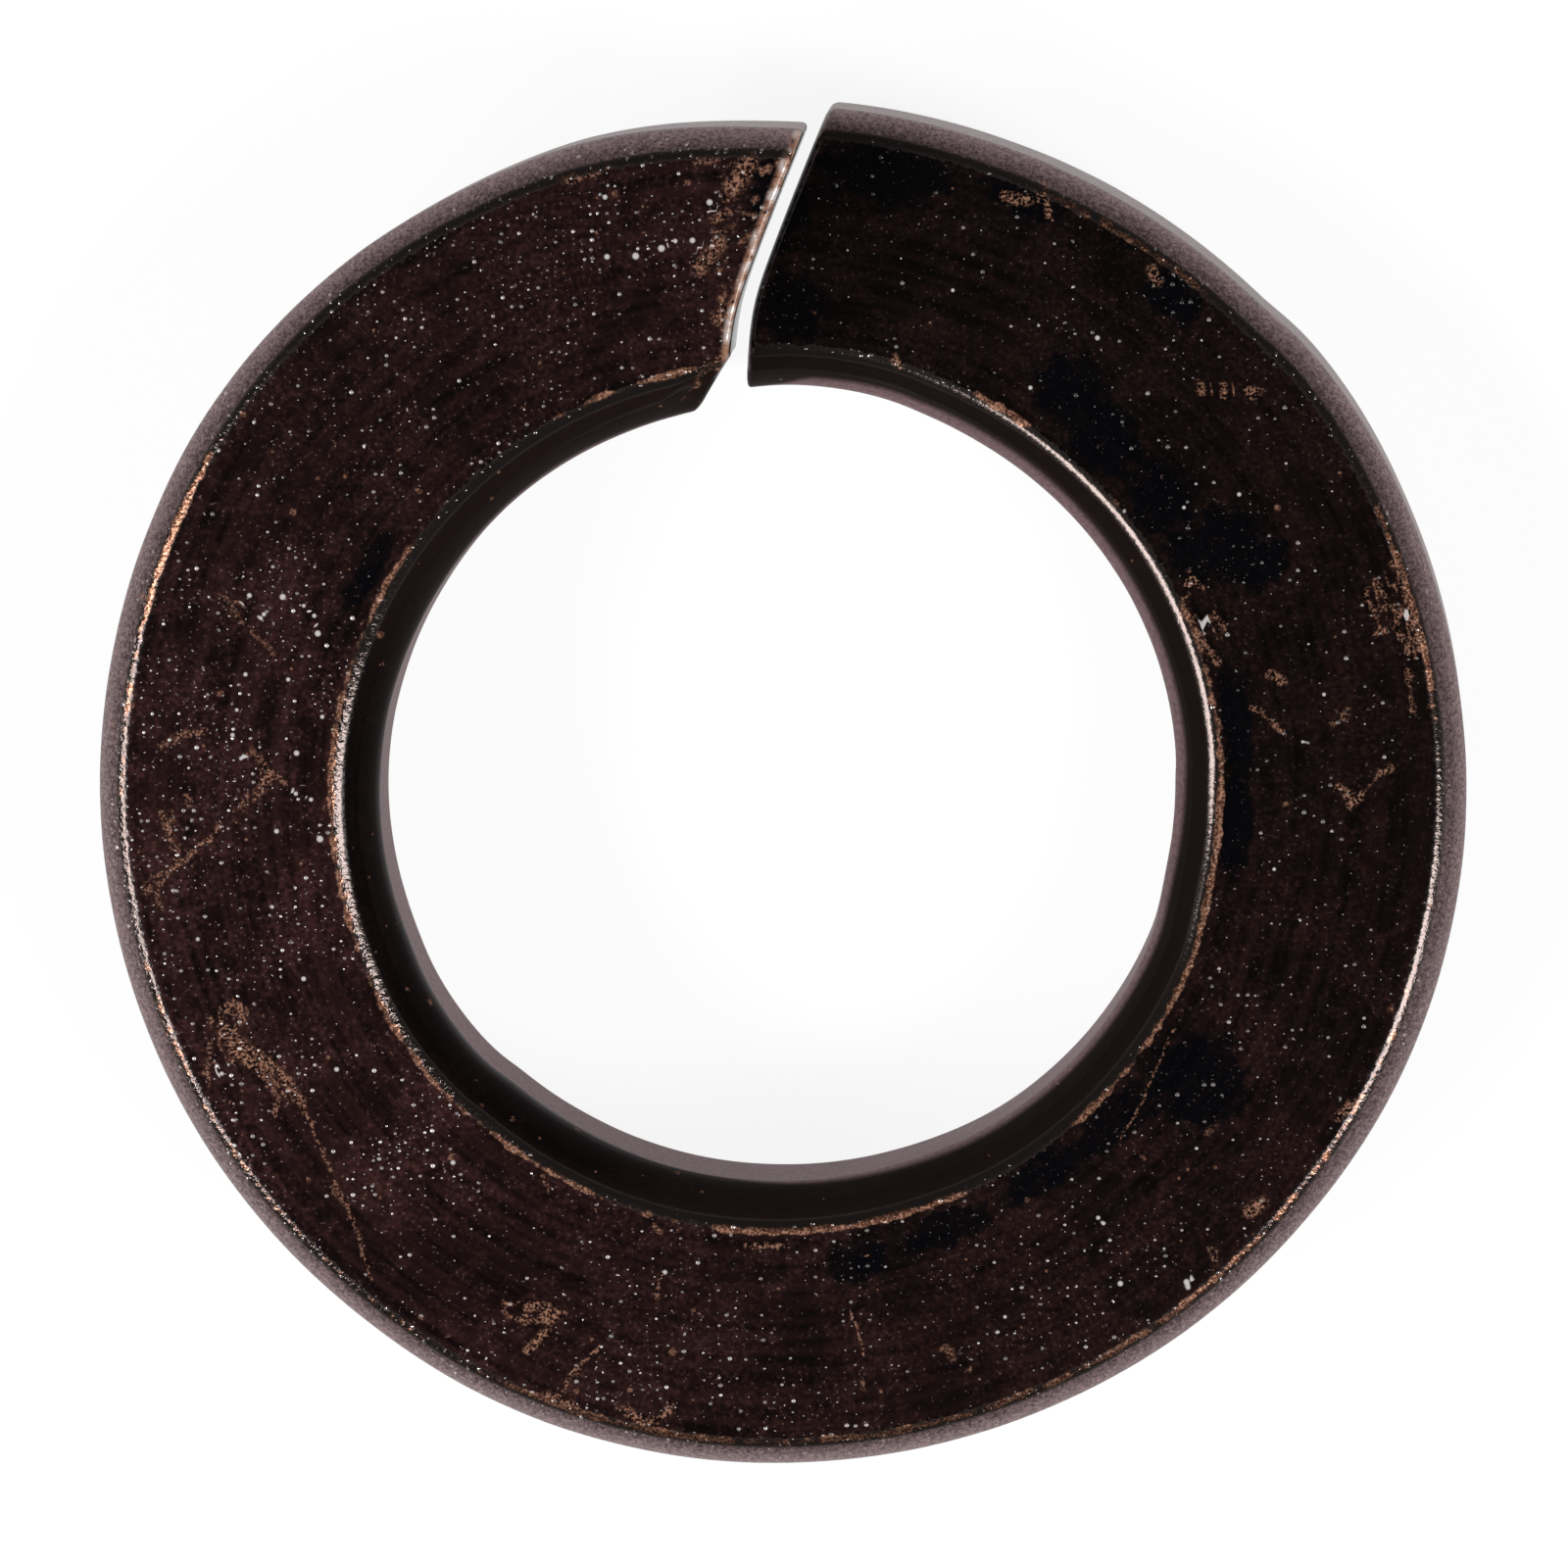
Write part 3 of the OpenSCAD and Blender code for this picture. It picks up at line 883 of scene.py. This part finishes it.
# Oxide: where it is patchy, speckled and streaked, and how much each of them browns it
PATCH_EDGE = (0.37, 0.65)
SPECKLE_EDGE = (0.34, 0.80)
STREAK_EDGE = (0.32, 0.72)
SPECKLE_BROWNING = 0.10
PATCH_SPECKLE_BROWNING = 0.75
PATCH_BROWNING = 0.18
STREAK_BROWNING = 0.28
# The corner beside the bore: the warmth at which it is black, how well its colour
# covers, and a paler line along it, as its middle and half width
CORNER_BLACK_WARMTH = (0.6, 0.95)
CORNER_COVER = 0.85
CORNER_LINE = (WALL_DARK_FROM + 0.22, 0.035)
CORNER_LINE_COVER = 0.45
# Blue-black stains: how ragged they are, their soft edge and how well they cover
STAIN_RAGGED = 1.3
STAIN_EDGE = (0.30, 0.80)
STAIN_COVER = 0.88
# The rims: the share of the paler colour in their grain, and along their middle, where it is a painted
# reflection of the white table
RIM_RAGGED = 0.8
RIM_TONE = (0.1, 1.05)
RIM_REFLECTION_BAND = (0.98, 0.80)
RIM_REFLECTION_SHARE = 0.25

# Lines of wear and of polish beside the corners: middle and half width
INNER_WEAR_LINE = (INNER_CORNER_AT + 0.015, 0.085)
OUTER_WEAR_LINE = (OUTER_CORNER_AT - 0.02, 0.09)
INNER_POLISH_LINE = (INNER_CORNER_AT - 0.05, 0.13)
OUTER_POLISH_LINE = (OUTER_CORNER_AT - 0.04, 0.12)
WEAR_RAGGED = 1.5
WEAR_EDGE = (0.42, 0.80)
POLISH_RAGGED = 1.1
POLISH_RAGGED_INSIDE = 0.15
POLISH_EDGE = (0.30, 0.78)
POLISH_COVER = 0.8

# Wear at the raised end, and the bright line on the edge of its sheared face, a painted highlight in pale
# copper and white
END_WEAR_REACH = (1.0, 0.1)
END_WEAR_STRENGTH = 0.50
END_WEAR_RAGGED = 1.6
END_WEAR_EDGE = (0.55, 0.92)
SHEAR_LINE_REACH = (0.13, 0.05)
SHEAR_LINE_FROM_BORE = (0.35, 0.50)
SHEAR_LINE_RAGGED = 0.8
SHEAR_LINE_EDGE = (0.22, 0.44)
SHEAR_HIGHLIGHT_WHITE = (0.42, 0.72)
SHEAR_LINE_COVER = 0.9
# The satin line on the edge of the lower end's sheared face
LOWER_LINE_REACH = (0.08, 0.04)
LOWER_LINE_GRAIN = (0.35, 0.65)

# Placed marks: how far beyond its width a mark is looked for, how far its edge is
# shaken, the shares of a mark's and a nick glint's width that are solid, and its crumbs
MARK_LIMIT = (0.06, 0.03)
MARK_SHAKE = 0.10
MARK_SOLID = 0.2
NICK_GLINT_SOLID = 0.4
CRUMB_RAGGED = 0.7
CRUMB_EDGE = (0.36, 0.62)
COPPER_PALE_PEBBLES = (0.35, 0.7)

# Specks: their spacing and sizes, and the share of places that has one
SPECK_SPACING = 0.095
SPECK_SMALLEST = 0.007
SPECK_LARGEST = 0.027
SPARK_CLOUDS = (0.40, 0.64)
SPARKS_ANYWHERE = 0.07
SPARKS_IN_CLOUDS = 0.58
SPARKS_BY_POLISH = 0.3
FLECK_SHARE = 0.05
FLECK_COVER = 0.5
# How bright the sparks, which are painted glints, are on cool oxide, how much more on warm and less in a
# stain
SPARK_ON_COOL = 0.40
SPARK_ON_WARM = 0.60
SPARK_IN_STAIN = 0.35
SPARK_COVER = 0.95
# Glitter, the finest sparks, painted glints: its grains, and how strong it is on cool and warm oxide
GLITTER_PEBBLES = (0.69, 0.82)
GLITTER_GRAIN = (0.50, 0.64)
GLITTER_ON_COOL = 0.1
GLITTER_ON_WARM = 0.6

# How much of a metal each layer is
SPARK_METAL = 0.30
RIM_METAL = 0.5
RUBBED_METAL = 0.3
POLISH_METAL = 0.9
# Roughness of the oxide, and what each layer adds to it
OXIDE_ROUGHNESS = 0.14
MOTTLE_ROUGHNESS = 0.06
OUTER_RIM_ROUGHNESS = 0.28
BORE_WALL_ROUGHNESS = 0.48
RUBBED_ROUGHNESS = 0.14
LEAST_ROUGHNESS = 0.12
# Shine of the oxide, and how much duller the inner corner and the rims are
OXIDE_SHINE = 0.28
CORNER_DULLER = 0.15
RIM_DULLER = 0.10

# Fine relief: its full height in metres, and the shares of it that each pattern has.
# The grain is deeper on the rims, and on the polished lines where the oxide is warm
# and on the outer half of the wire.
RELIEF_HEIGHT = 0.010 * MM
GRAIN_RELIEF = 0.06
RIM_GRAIN_RELIEF = 0.12
POLISH_GRAIN_RELIEF = 0.14
POLISH_GRAIN_WARM = 0.60
POLISH_GRAIN_OUTSIDE = 0.25
OUTER_HALF = (-0.2, 0.2)
PEBBLE_RELIEF = 0.03
DRAWN_RELIEF = 0.06
DOME_RELIEF = 26.0


class Skin:
    """A point of the washer's skin: where it is, which side it is on, and its unevenness."""

    def __init__(self, sk):
        coordinates = sk.add("ShaderNodeTexCoord")
        self.facing = coordinates.outputs["Normal"]
        self.place = sk.scaled(coordinates.outputs["Object"], 1 / MM)
        self.along, self.across, self.level = sk.apart(sk.kept("wire_place"))
        self.warmth, self.stained, self.worn = sk.apart(sk.kept("tone"))
        self.from_bore = sk.plus(self.across, HALF_WIDTH)
        self.from_outside = sk.minus(HALF_WIDTH, self.across)
        self.from_lower = sk.minus(TURN, self.along)
        self.find_sides(sk)
        self.find_rims(sk)
        self.add_unevenness(sk)

    def find_sides(self, sk):
        """Masks of the faces, the bore's wall, and the corners and lines beside it."""
        up = sk.apart(self.facing)[2]
        self.upper = sk.ramp(up, *UPPER_FACING)
        self.edge_top = sk.ramp(up, *EDGE_FACING)
        self.flats = sk.ramp(sk.math("ABSOLUTE", up), *FLAT_FACING)
        self.wall = sk.ramp(self.from_bore, *BORE_WALL_EDGE)
        self.inner_corner = sk.ramp(self.from_bore, *INNER_CORNER_EDGE)
        inner_line = sk.band(self.from_bore, *INNER_POLISH_LINE)
        outer_line = sk.band(self.from_outside, *OUTER_POLISH_LINE)
        self.polish_zone = sk.most(inner_line, outer_line)

    def find_rims(self, sk):
        """Masks of the satin outer rim and of the painted reflection of the white table on the bore's lower
        wall, which stop at the sheared faces.
        """
        to_end = sk.least(self.along, self.from_lower)
        rolled = sk.minus(1.0, sk.ramp(to_end, *SHEARED_FACE))
        dark_from = sk.mixed(self.warmth, WALL_DARK_FROM_COOL, WALL_DARK_FROM)
        reflecting_lower_wall = sk.ramp(sk.minus(self.level, dark_from), *WALL_DARK_EDGE)
        wall_reflection = sk.times(reflecting_lower_wall, sk.ramp(self.from_bore, *WALL_REFLECTION_EDGE))
        self.bore_wall_reflection = sk.times(wall_reflection, rolled)
        self.outer_rim = sk.times(sk.ramp(self.from_outside, *OUTER_RIM_EDGE), rolled)
        self.rims = sk.most(self.outer_rim, self.bore_wall_reflection)

    def add_unevenness(self, sk):
        """Noises of several sizes, from 0 to 1, that the patterns share."""
        self.clouds = sk.noise(self.place, CLOUD_SIZE, 1.0)
        self.mottle = sk.noise(self.place, MOTTLE_SIZE, 2.0)
        self.grain = sk.noise(self.place, GRAIN_SIZE, 2.0)
        self.pebbles = sk.noise(sk.shifted(self.place, PEBBLE_SHIFT), PEBBLE_SIZE, 0.0)
        self.ragged = sk.noise(sk.shifted(self.place, RAGGED_SHIFT), RAGGED_SIZE, 2.0)
        lines = sk.together(
            sk.times(self.along, DRAWN_ALONG),
            sk.times(self.from_bore, DRAWN_ACROSS),
            sk.times(self.level, DRAWN_ACROSS),
        )
        self.drawn = sk.noise(lines, 1.0, 1.0)
        even = sk.plus(sk.times(self.clouds, 0.5), sk.times(self.mottle, 0.5))
        self.patchy = sk.ramp(even, *PATCH_EDGE)


def roughened(sk, value, noise, amount):
    """value, pushed up and down by a noise from 0 to 1."""
    return sk.plus(value, sk.times(sk.minus(noise, 0.5), amount))


def oxide_colour(sk, skin, stain):
    """Near-black oxide, browned in patches and drawn lines, dark beside the bore and stained."""
    dark = sk.blend(skin.warmth, COOL_DARK, WARM_DARK)
    brown = sk.blend(skin.warmth, COOL_BROWN, WARM_BROWN)
    speckle = sk.ramp(skin.grain, *SPECKLE_EDGE)
    speckle_share = sk.plus(SPECKLE_BROWNING, sk.times(skin.patchy, PATCH_SPECKLE_BROWNING))
    browning = sk.plus(sk.times(speckle, speckle_share), sk.times(skin.patchy, PATCH_BROWNING))
    browning = sk.plus(browning, sk.times(sk.ramp(skin.drawn, *STREAK_EDGE), STREAK_BROWNING))
    oxide = sk.blend(browning, dark, brown)
    corner = sk.blend(sk.ramp(skin.warmth, *CORNER_BLACK_WARMTH), CORNER_BROWN, CORNER_BLACK)
    oxide = sk.blend(sk.times(skin.inner_corner, CORNER_COVER), oxide, corner)
    line = sk.times(sk.band(skin.level, *CORNER_LINE), skin.inner_corner)
    oxide = sk.blend(sk.times(line, CORNER_LINE_COVER), oxide, BORE_DARK)
    return sk.blend(sk.times(sk.times(stain, skin.upper), STAIN_COVER), oxide, STAIN_BLUE)


def rim_colour(sk, skin):
    """The satin outside of the wire, paler along its middle as a painted reflection of the white table."""
    tone = sk.ramp(roughened(sk, skin.grain, skin.pebbles, RIM_RAGGED), *RIM_TONE)
    # Paler along the middle: a painted reflection of the white table
    middle = sk.ramp(sk.math("ABSOLUTE", skin.level), *RIM_REFLECTION_BAND)
    return sk.blend(sk.plus(tone, sk.times(middle, RIM_REFLECTION_SHARE)), RIM_DARK, RIM_PALE)


def edge_wear(sk, skin):
    """Ragged copper wear along the edges of the faces, as strong as it is set round the ring."""
    inner_line = sk.band(skin.from_bore, *INNER_WEAR_LINE)
    outer_line = sk.band(skin.from_outside, *OUTER_WEAR_LINE)
    wear = sk.times(sk.times(sk.most(inner_line, outer_line), skin.worn), skin.flats)
    return sk.ramp(roughened(sk, wear, skin.ragged, WEAR_RAGGED), *WEAR_EDGE)


def end_wear(sk, skin):
    """Rubbed patches close to the raised end."""
    zone = sk.times(sk.ramp(skin.along, *END_WEAR_REACH), skin.upper)
    wear = roughened(sk, sk.times(zone, END_WEAR_STRENGTH), skin.ragged, END_WEAR_RAGGED)
    return sk.ramp(wear, *END_WEAR_EDGE)


def placed_marks(sk, skin):
    """Scratches and rubbed marks, with shaken edges and crumbled insides, and nick glints painted white."""
    mark_x, mark_y, mark_distance = sk.apart(sk.kept("nearest_mark"))
    width, strength, bright = sk.apart(sk.kept("mark_size"))
    close = sk.ramp(sk.minus(mark_distance, width), *MARK_LIMIT)

    def distance_from(place):
        x, y, _ = sk.apart(place)
        return sk.length(sk.together(sk.minus(x, mark_x), sk.minus(y, mark_y), 0.0))

    shake = sk.noise_vector(skin.place, SHAKE_SIZE)
    shaken_place = sk.shifted(skin.place, sk.scaled(shake, MARK_SHAKE))
    marks = sk.ramp(distance_from(shaken_place), width, sk.times(width, MARK_SOLID))
    marks = sk.times(marks, sk.times(strength, close))
    crumbs = sk.ramp(roughened(sk, skin.grain, skin.pebbles, CRUMB_RAGGED), *CRUMB_EDGE)
    marks = sk.times(sk.times(marks, sk.math("LESS_THAN", bright, 0.5)), sk.times(crumbs, skin.flats))

    # Nick glints: bright nicks painted white as glints
    nick_glints = sk.ramp(distance_from(skin.place), width, sk.times(width, NICK_GLINT_SOLID))
    nick_glints = sk.times(sk.times(nick_glints, sk.math("GREATER_THAN", bright, 0.5)), sk.times(skin.flats, close))
    return marks, nick_glints


def painted_glints_and_flecks(sk, skin):
    """Painted glints as small bright specks, thickest in warm clouds and beside the edges, and rubbed flecks.
    """
    clouds = sk.times(skin.warmth, sk.ramp(skin.clouds, *SPARK_CLOUDS))
    crowd = sk.plus(SPARKS_ANYWHERE, sk.times(clouds, SPARKS_IN_CLOUDS))
    crowd = sk.plus(crowd, sk.times(skin.polish_zone, SPARKS_BY_POLISH))
    crowd = sk.times(crowd, sk.times(skin.flats, sk.minus(1.0, skin.inner_corner)))
    return sk.group(speck_group(), {
        "Place": skin.place,
        "Facing": skin.facing,
        "Spacing": SPECK_SPACING,
        "Spark Share": crowd,
        "Fleck Share": sk.times(sk.times(skin.patchy, skin.warmth), FLECK_SHARE),
        "Smallest": SPECK_SMALLEST,
        "Largest": SPECK_LARGEST,
    }).outputs


def fine_painted_glitter(sk, skin):
    """The finest painted glints, in the rims' pale colour, on the faces only and strongest on warm oxide."""
    grains = sk.times(sk.ramp(skin.pebbles, *GLITTER_PEBBLES), sk.ramp(skin.grain, *GLITTER_GRAIN))
    on_faces = sk.minus(skin.flats, sk.times(skin.inner_corner, skin.flats))
    strength = sk.plus(GLITTER_ON_COOL, sk.times(skin.warmth, GLITTER_ON_WARM))
    return sk.times(sk.times(grains, on_faces), strength)


def polished_lines(sk, skin):
    """Polished lines where the corners begin, broken up by the grain."""
    ragged = sk.mixed(skin.inner_corner, POLISH_RAGGED, POLISH_RAGGED_INSIDE)
    return sk.ramp(roughened(sk, skin.polish_zone, skin.grain, ragged), *POLISH_EDGE)


def shear_edge_highlight(sk, skin):
    """The painted highlight along the edge of the raised end's sheared face, in pale copper and white."""
    line = sk.times(sk.ramp(skin.along, *SHEAR_LINE_REACH), skin.edge_top)
    broken = sk.ramp(roughened(sk, skin.ragged, skin.grain, SHEAR_LINE_RAGGED), *SHEAR_LINE_EDGE)
    return sk.times(sk.times(line, broken), sk.ramp(skin.from_bore, *SHEAR_LINE_FROM_BORE))


def lower_line(sk, skin):
    """The satin line along the edge of the lower end's sheared face."""
    line = sk.times(sk.ramp(skin.from_lower, *LOWER_LINE_REACH), skin.edge_top)
    return sk.times(line, sk.ramp(skin.grain, *LOWER_LINE_GRAIN))


def fine_relief(sk, skin, domes):
    """Height of the grain, the pebbles, the drawn lines and the specks' domes."""
    warm = sk.times(sk.square(skin.warmth), POLISH_GRAIN_WARM)
    outside = sk.times(sk.ramp(skin.across, *OUTER_HALF), POLISH_GRAIN_OUTSIDE)
    polish = sk.plus(sk.plus(warm, outside), POLISH_GRAIN_RELIEF)
    deeper = sk.plus(sk.times(skin.rims, RIM_GRAIN_RELIEF), sk.times(skin.polish_zone, polish))
    relief = sk.times(skin.grain, sk.plus(GRAIN_RELIEF, deeper))
    relief = sk.plus(relief, sk.times(skin.pebbles, PEBBLE_RELIEF))
    relief = sk.plus(relief, sk.times(skin.drawn, DRAWN_RELIEF))
    return sk.plus(relief, sk.times(domes, DOME_RELIEF))


def blackened_steel():
    """Black oxide on spring steel, rubbed through to copper-brown on its edges."""
    material = bpy.data.materials.new("blackened_spring_steel")
    material.use_nodes = True
    shader = material.node_tree.nodes["Principled BSDF"]
    sk = NodeSketch(material.node_tree)
    skin = Skin(sk)

    # Where the layers are
    stain = sk.ramp(roughened(sk, skin.stained, skin.ragged, STAIN_RAGGED), *STAIN_EDGE)
    marks, nick_glints = placed_marks(sk, skin)
    specks = painted_glints_and_flecks(sk, skin)
    polished = polished_lines(sk, skin)
    # Painted glints: the sparks and the nicks, brighter on warm oxide
    brightness = sk.plus(SPARK_ON_COOL, sk.times(skin.warmth, SPARK_ON_WARM))
    brightness = sk.minus(brightness, sk.times(stain, SPARK_IN_STAIN))
    painted_glints = sk.most(sk.times(specks["Spark"], brightness), nick_glints)
    rubbed = sk.most(marks, sk.times(specks["Fleck"], FLECK_COVER))
    rubbed = sk.most(sk.most(edge_wear(sk, skin), end_wear(sk, skin)), rubbed)
    rubbed = sk.least(rubbed, 1.0)

    # Their colours, laid over each other
    copper = sk.blend(sk.ramp(skin.pebbles, *COPPER_PALE_PEBBLES), COPPER_DARK, COPPER_PALE)
    # Painted highlight of the sheared edge: pale copper turning white
    highlight_copper = sk.blend(sk.ramp(skin.ragged, *SHEAR_HIGHLIGHT_WHITE), COPPER_PALE, PAINTED_GLINT_WHITE)
    colour = sk.blend(skin.outer_rim, oxide_colour(sk, skin, stain), rim_colour(sk, skin))
    # Painted reflection of the white table on the lower wall of the bore
    colour = sk.blend(skin.bore_wall_reflection, colour, sk.blend(skin.grain, BORE_DARK, BORE_PALE))
    colour = sk.blend(sk.times(polished, POLISH_COVER), colour, POLISHED)
    # Painted glints: the fine glitter, laid on in the rims' pale colour
    colour = sk.blend(fine_painted_glitter(sk, skin), colour, RIM_PALE)
    colour = sk.blend(rubbed, colour, copper)
    # The painted highlight on the raised end's sheared edge
    colour = sk.blend(sk.times(shear_edge_highlight(sk, skin), SHEAR_LINE_COVER), colour, highlight_copper)
    colour = sk.blend(lower_line(sk, skin), colour, RIM_DARK)
    # Painted highlight: the glints and nicks laid on in white
    colour = sk.blend(sk.times(painted_glints, SPARK_COVER), colour, PAINTED_GLINT_WHITE)
    sk.feed(shader.inputs["Base Color"], colour)

    # Gloss: painted glints, polish and rubbed steel shine as metal, and the rims and the painted wall
    # reflection are satin
    metal = sk.most(sk.times(painted_glints, SPARK_METAL), sk.times(skin.rims, RIM_METAL))
    metal = sk.most(metal, sk.times(rubbed, RUBBED_METAL))
    metal = sk.most(metal, sk.times(polished, POLISH_METAL))
    sk.feed(shader.inputs["Metallic"], metal)
    rough = roughened(sk, OXIDE_ROUGHNESS, skin.mottle, MOTTLE_ROUGHNESS)
    rough = sk.plus(rough, sk.times(skin.outer_rim, OUTER_RIM_ROUGHNESS))
    rough = sk.plus(rough, sk.times(skin.wall, BORE_WALL_ROUGHNESS))
    rough = sk.plus(rough, sk.times(rubbed, RUBBED_ROUGHNESS))
    sk.feed(shader.inputs["Roughness"], sk.most(rough, LEAST_ROUGHNESS))
    duller = sk.times(sk.most(skin.outer_rim, skin.wall), RIM_DULLER)
    duller = sk.plus(sk.times(skin.inner_corner, CORNER_DULLER), duller)
    sk.feed(shader.inputs["Specular IOR Level"], sk.minus(OXIDE_SHINE, duller))

    bump = sk.add("ShaderNodeBump", {
        "Height": fine_relief(sk, skin, specks["Dome"]),
        "Strength": 1.0,
        "Distance": RELIEF_HEIGHT,
    })
    sk.feed(shader.inputs["Normal"], bump.outputs[0])
    return material


# The table, the lights and the camera

def white_paint():
    """Glowing white to the camera with a faint shadow, and plain white paint to other light."""
    material = bpy.data.materials.new("white_table")
    material.use_nodes = True
    material.node_tree.nodes.clear()
    sk = NodeSketch(material.node_tree)
    ray = sk.add("ShaderNodeLightPath").outputs
    seen = sk.most(ray["Is Camera Ray"], sk.most(ray["Is Glossy Ray"], ray["Is Transmission Ray"]))
    paint = sk.add("ShaderNodeBsdfDiffuse", {"Color": TABLE_PAINT})
    dim_paint = sk.add("ShaderNodeBsdfDiffuse", {"Color": SHADOW_SHARE})
    glow = sk.add("ShaderNodeEmission", {"Strength": TABLE_GLOW})
    white = sk.add("ShaderNodeAddShader", {0: dim_paint.outputs[0], 1: glow.outputs[0]})
    choice = sk.add("ShaderNodeMixShader", {0: seen, 1: paint.outputs[0], 2: white.outputs[0]})
    sk.add("ShaderNodeOutputMaterial", {"Surface": choice.outputs[0]})
    return material


def white_table():
    """A white table top just under the washer, which keeps a faint shadow."""
    corners = [(x * TABLE_HALF, y * TABLE_HALF, -TABLE_DROP) for x, y in ((-1, -1), (1, -1), (1, 1), (-1, 1))]
    mesh = bpy.data.meshes.new("table_top")
    mesh.from_pydata(corners, [], [(0, 1, 2, 3)])
    mesh.materials.append(white_paint())
    table = bpy.data.objects.new("table_top", mesh)
    bpy.context.scene.collection.objects.link(table)


def soft_box(name, place, size, power):
    """A rectangular soft light at place, turned to the washer."""
    lamp = bpy.data.lights.new(name, "AREA")
    lamp.shape = "RECTANGLE"
    lamp.size, lamp.size_y = size
    lamp.energy = power
    holder = bpy.data.objects.new(name, lamp)
    holder.location = place
    holder.rotation_euler = (Vector(SOFT_BOX_AIM) - Vector(place)).to_track_quat("-Z", "Y").to_euler()
    bpy.context.scene.collection.objects.link(holder)


def light_studio():
    """Two soft boxes high on the left and right, and a dim room."""
    for name, place, size, power in SOFT_BOXES:
        soft_box(name, place, size, power)
    world = bpy.data.worlds.new("studio")
    world.use_nodes = True
    world.node_tree.nodes["Background"].inputs["Color"].default_value = ROOM_GREY
    bpy.context.scene.world = world


def look_down():
    """The camera, looking down along the washer's axis but for two small tilts."""
    camera = bpy.data.cameras.new("camera")
    camera.sensor_width = CAMERA_SENSOR
    camera.lens = CAMERA_LENS
    camera.clip_start = CAMERA_CLIP
    camera.shift_x, camera.shift_y = CAMERA_SHIFT
    holder = bpy.data.objects.new("camera", camera)
    turn = (
        Matrix.Rotation(-CAMERA_ROLL, 4, "Z")
        @ Matrix.Rotation(CAMERA_SIDE, 4, "Y")
        @ Matrix.Rotation(-CAMERA_BACK, 4, "X")
    )
    middle = Vector((0, 0, WIRE_T / 2 + COIL_RISE * (tip_angle() - 1.5 * pi) / (2 * pi)))
    holder.matrix_world = Matrix.Translation(middle) @ turn @ Matrix.Translation((0, 0, CAMERA_DISTANCE))
    bpy.context.scene.collection.objects.link(holder)
    bpy.context.scene.camera = holder


bpy.context.scene.view_settings.view_transform = "Standard"
look_down()
light_studio()
white_table()
washer = bend_washer(blackened_steel())
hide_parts("lock_washer")
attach(washer, "root")
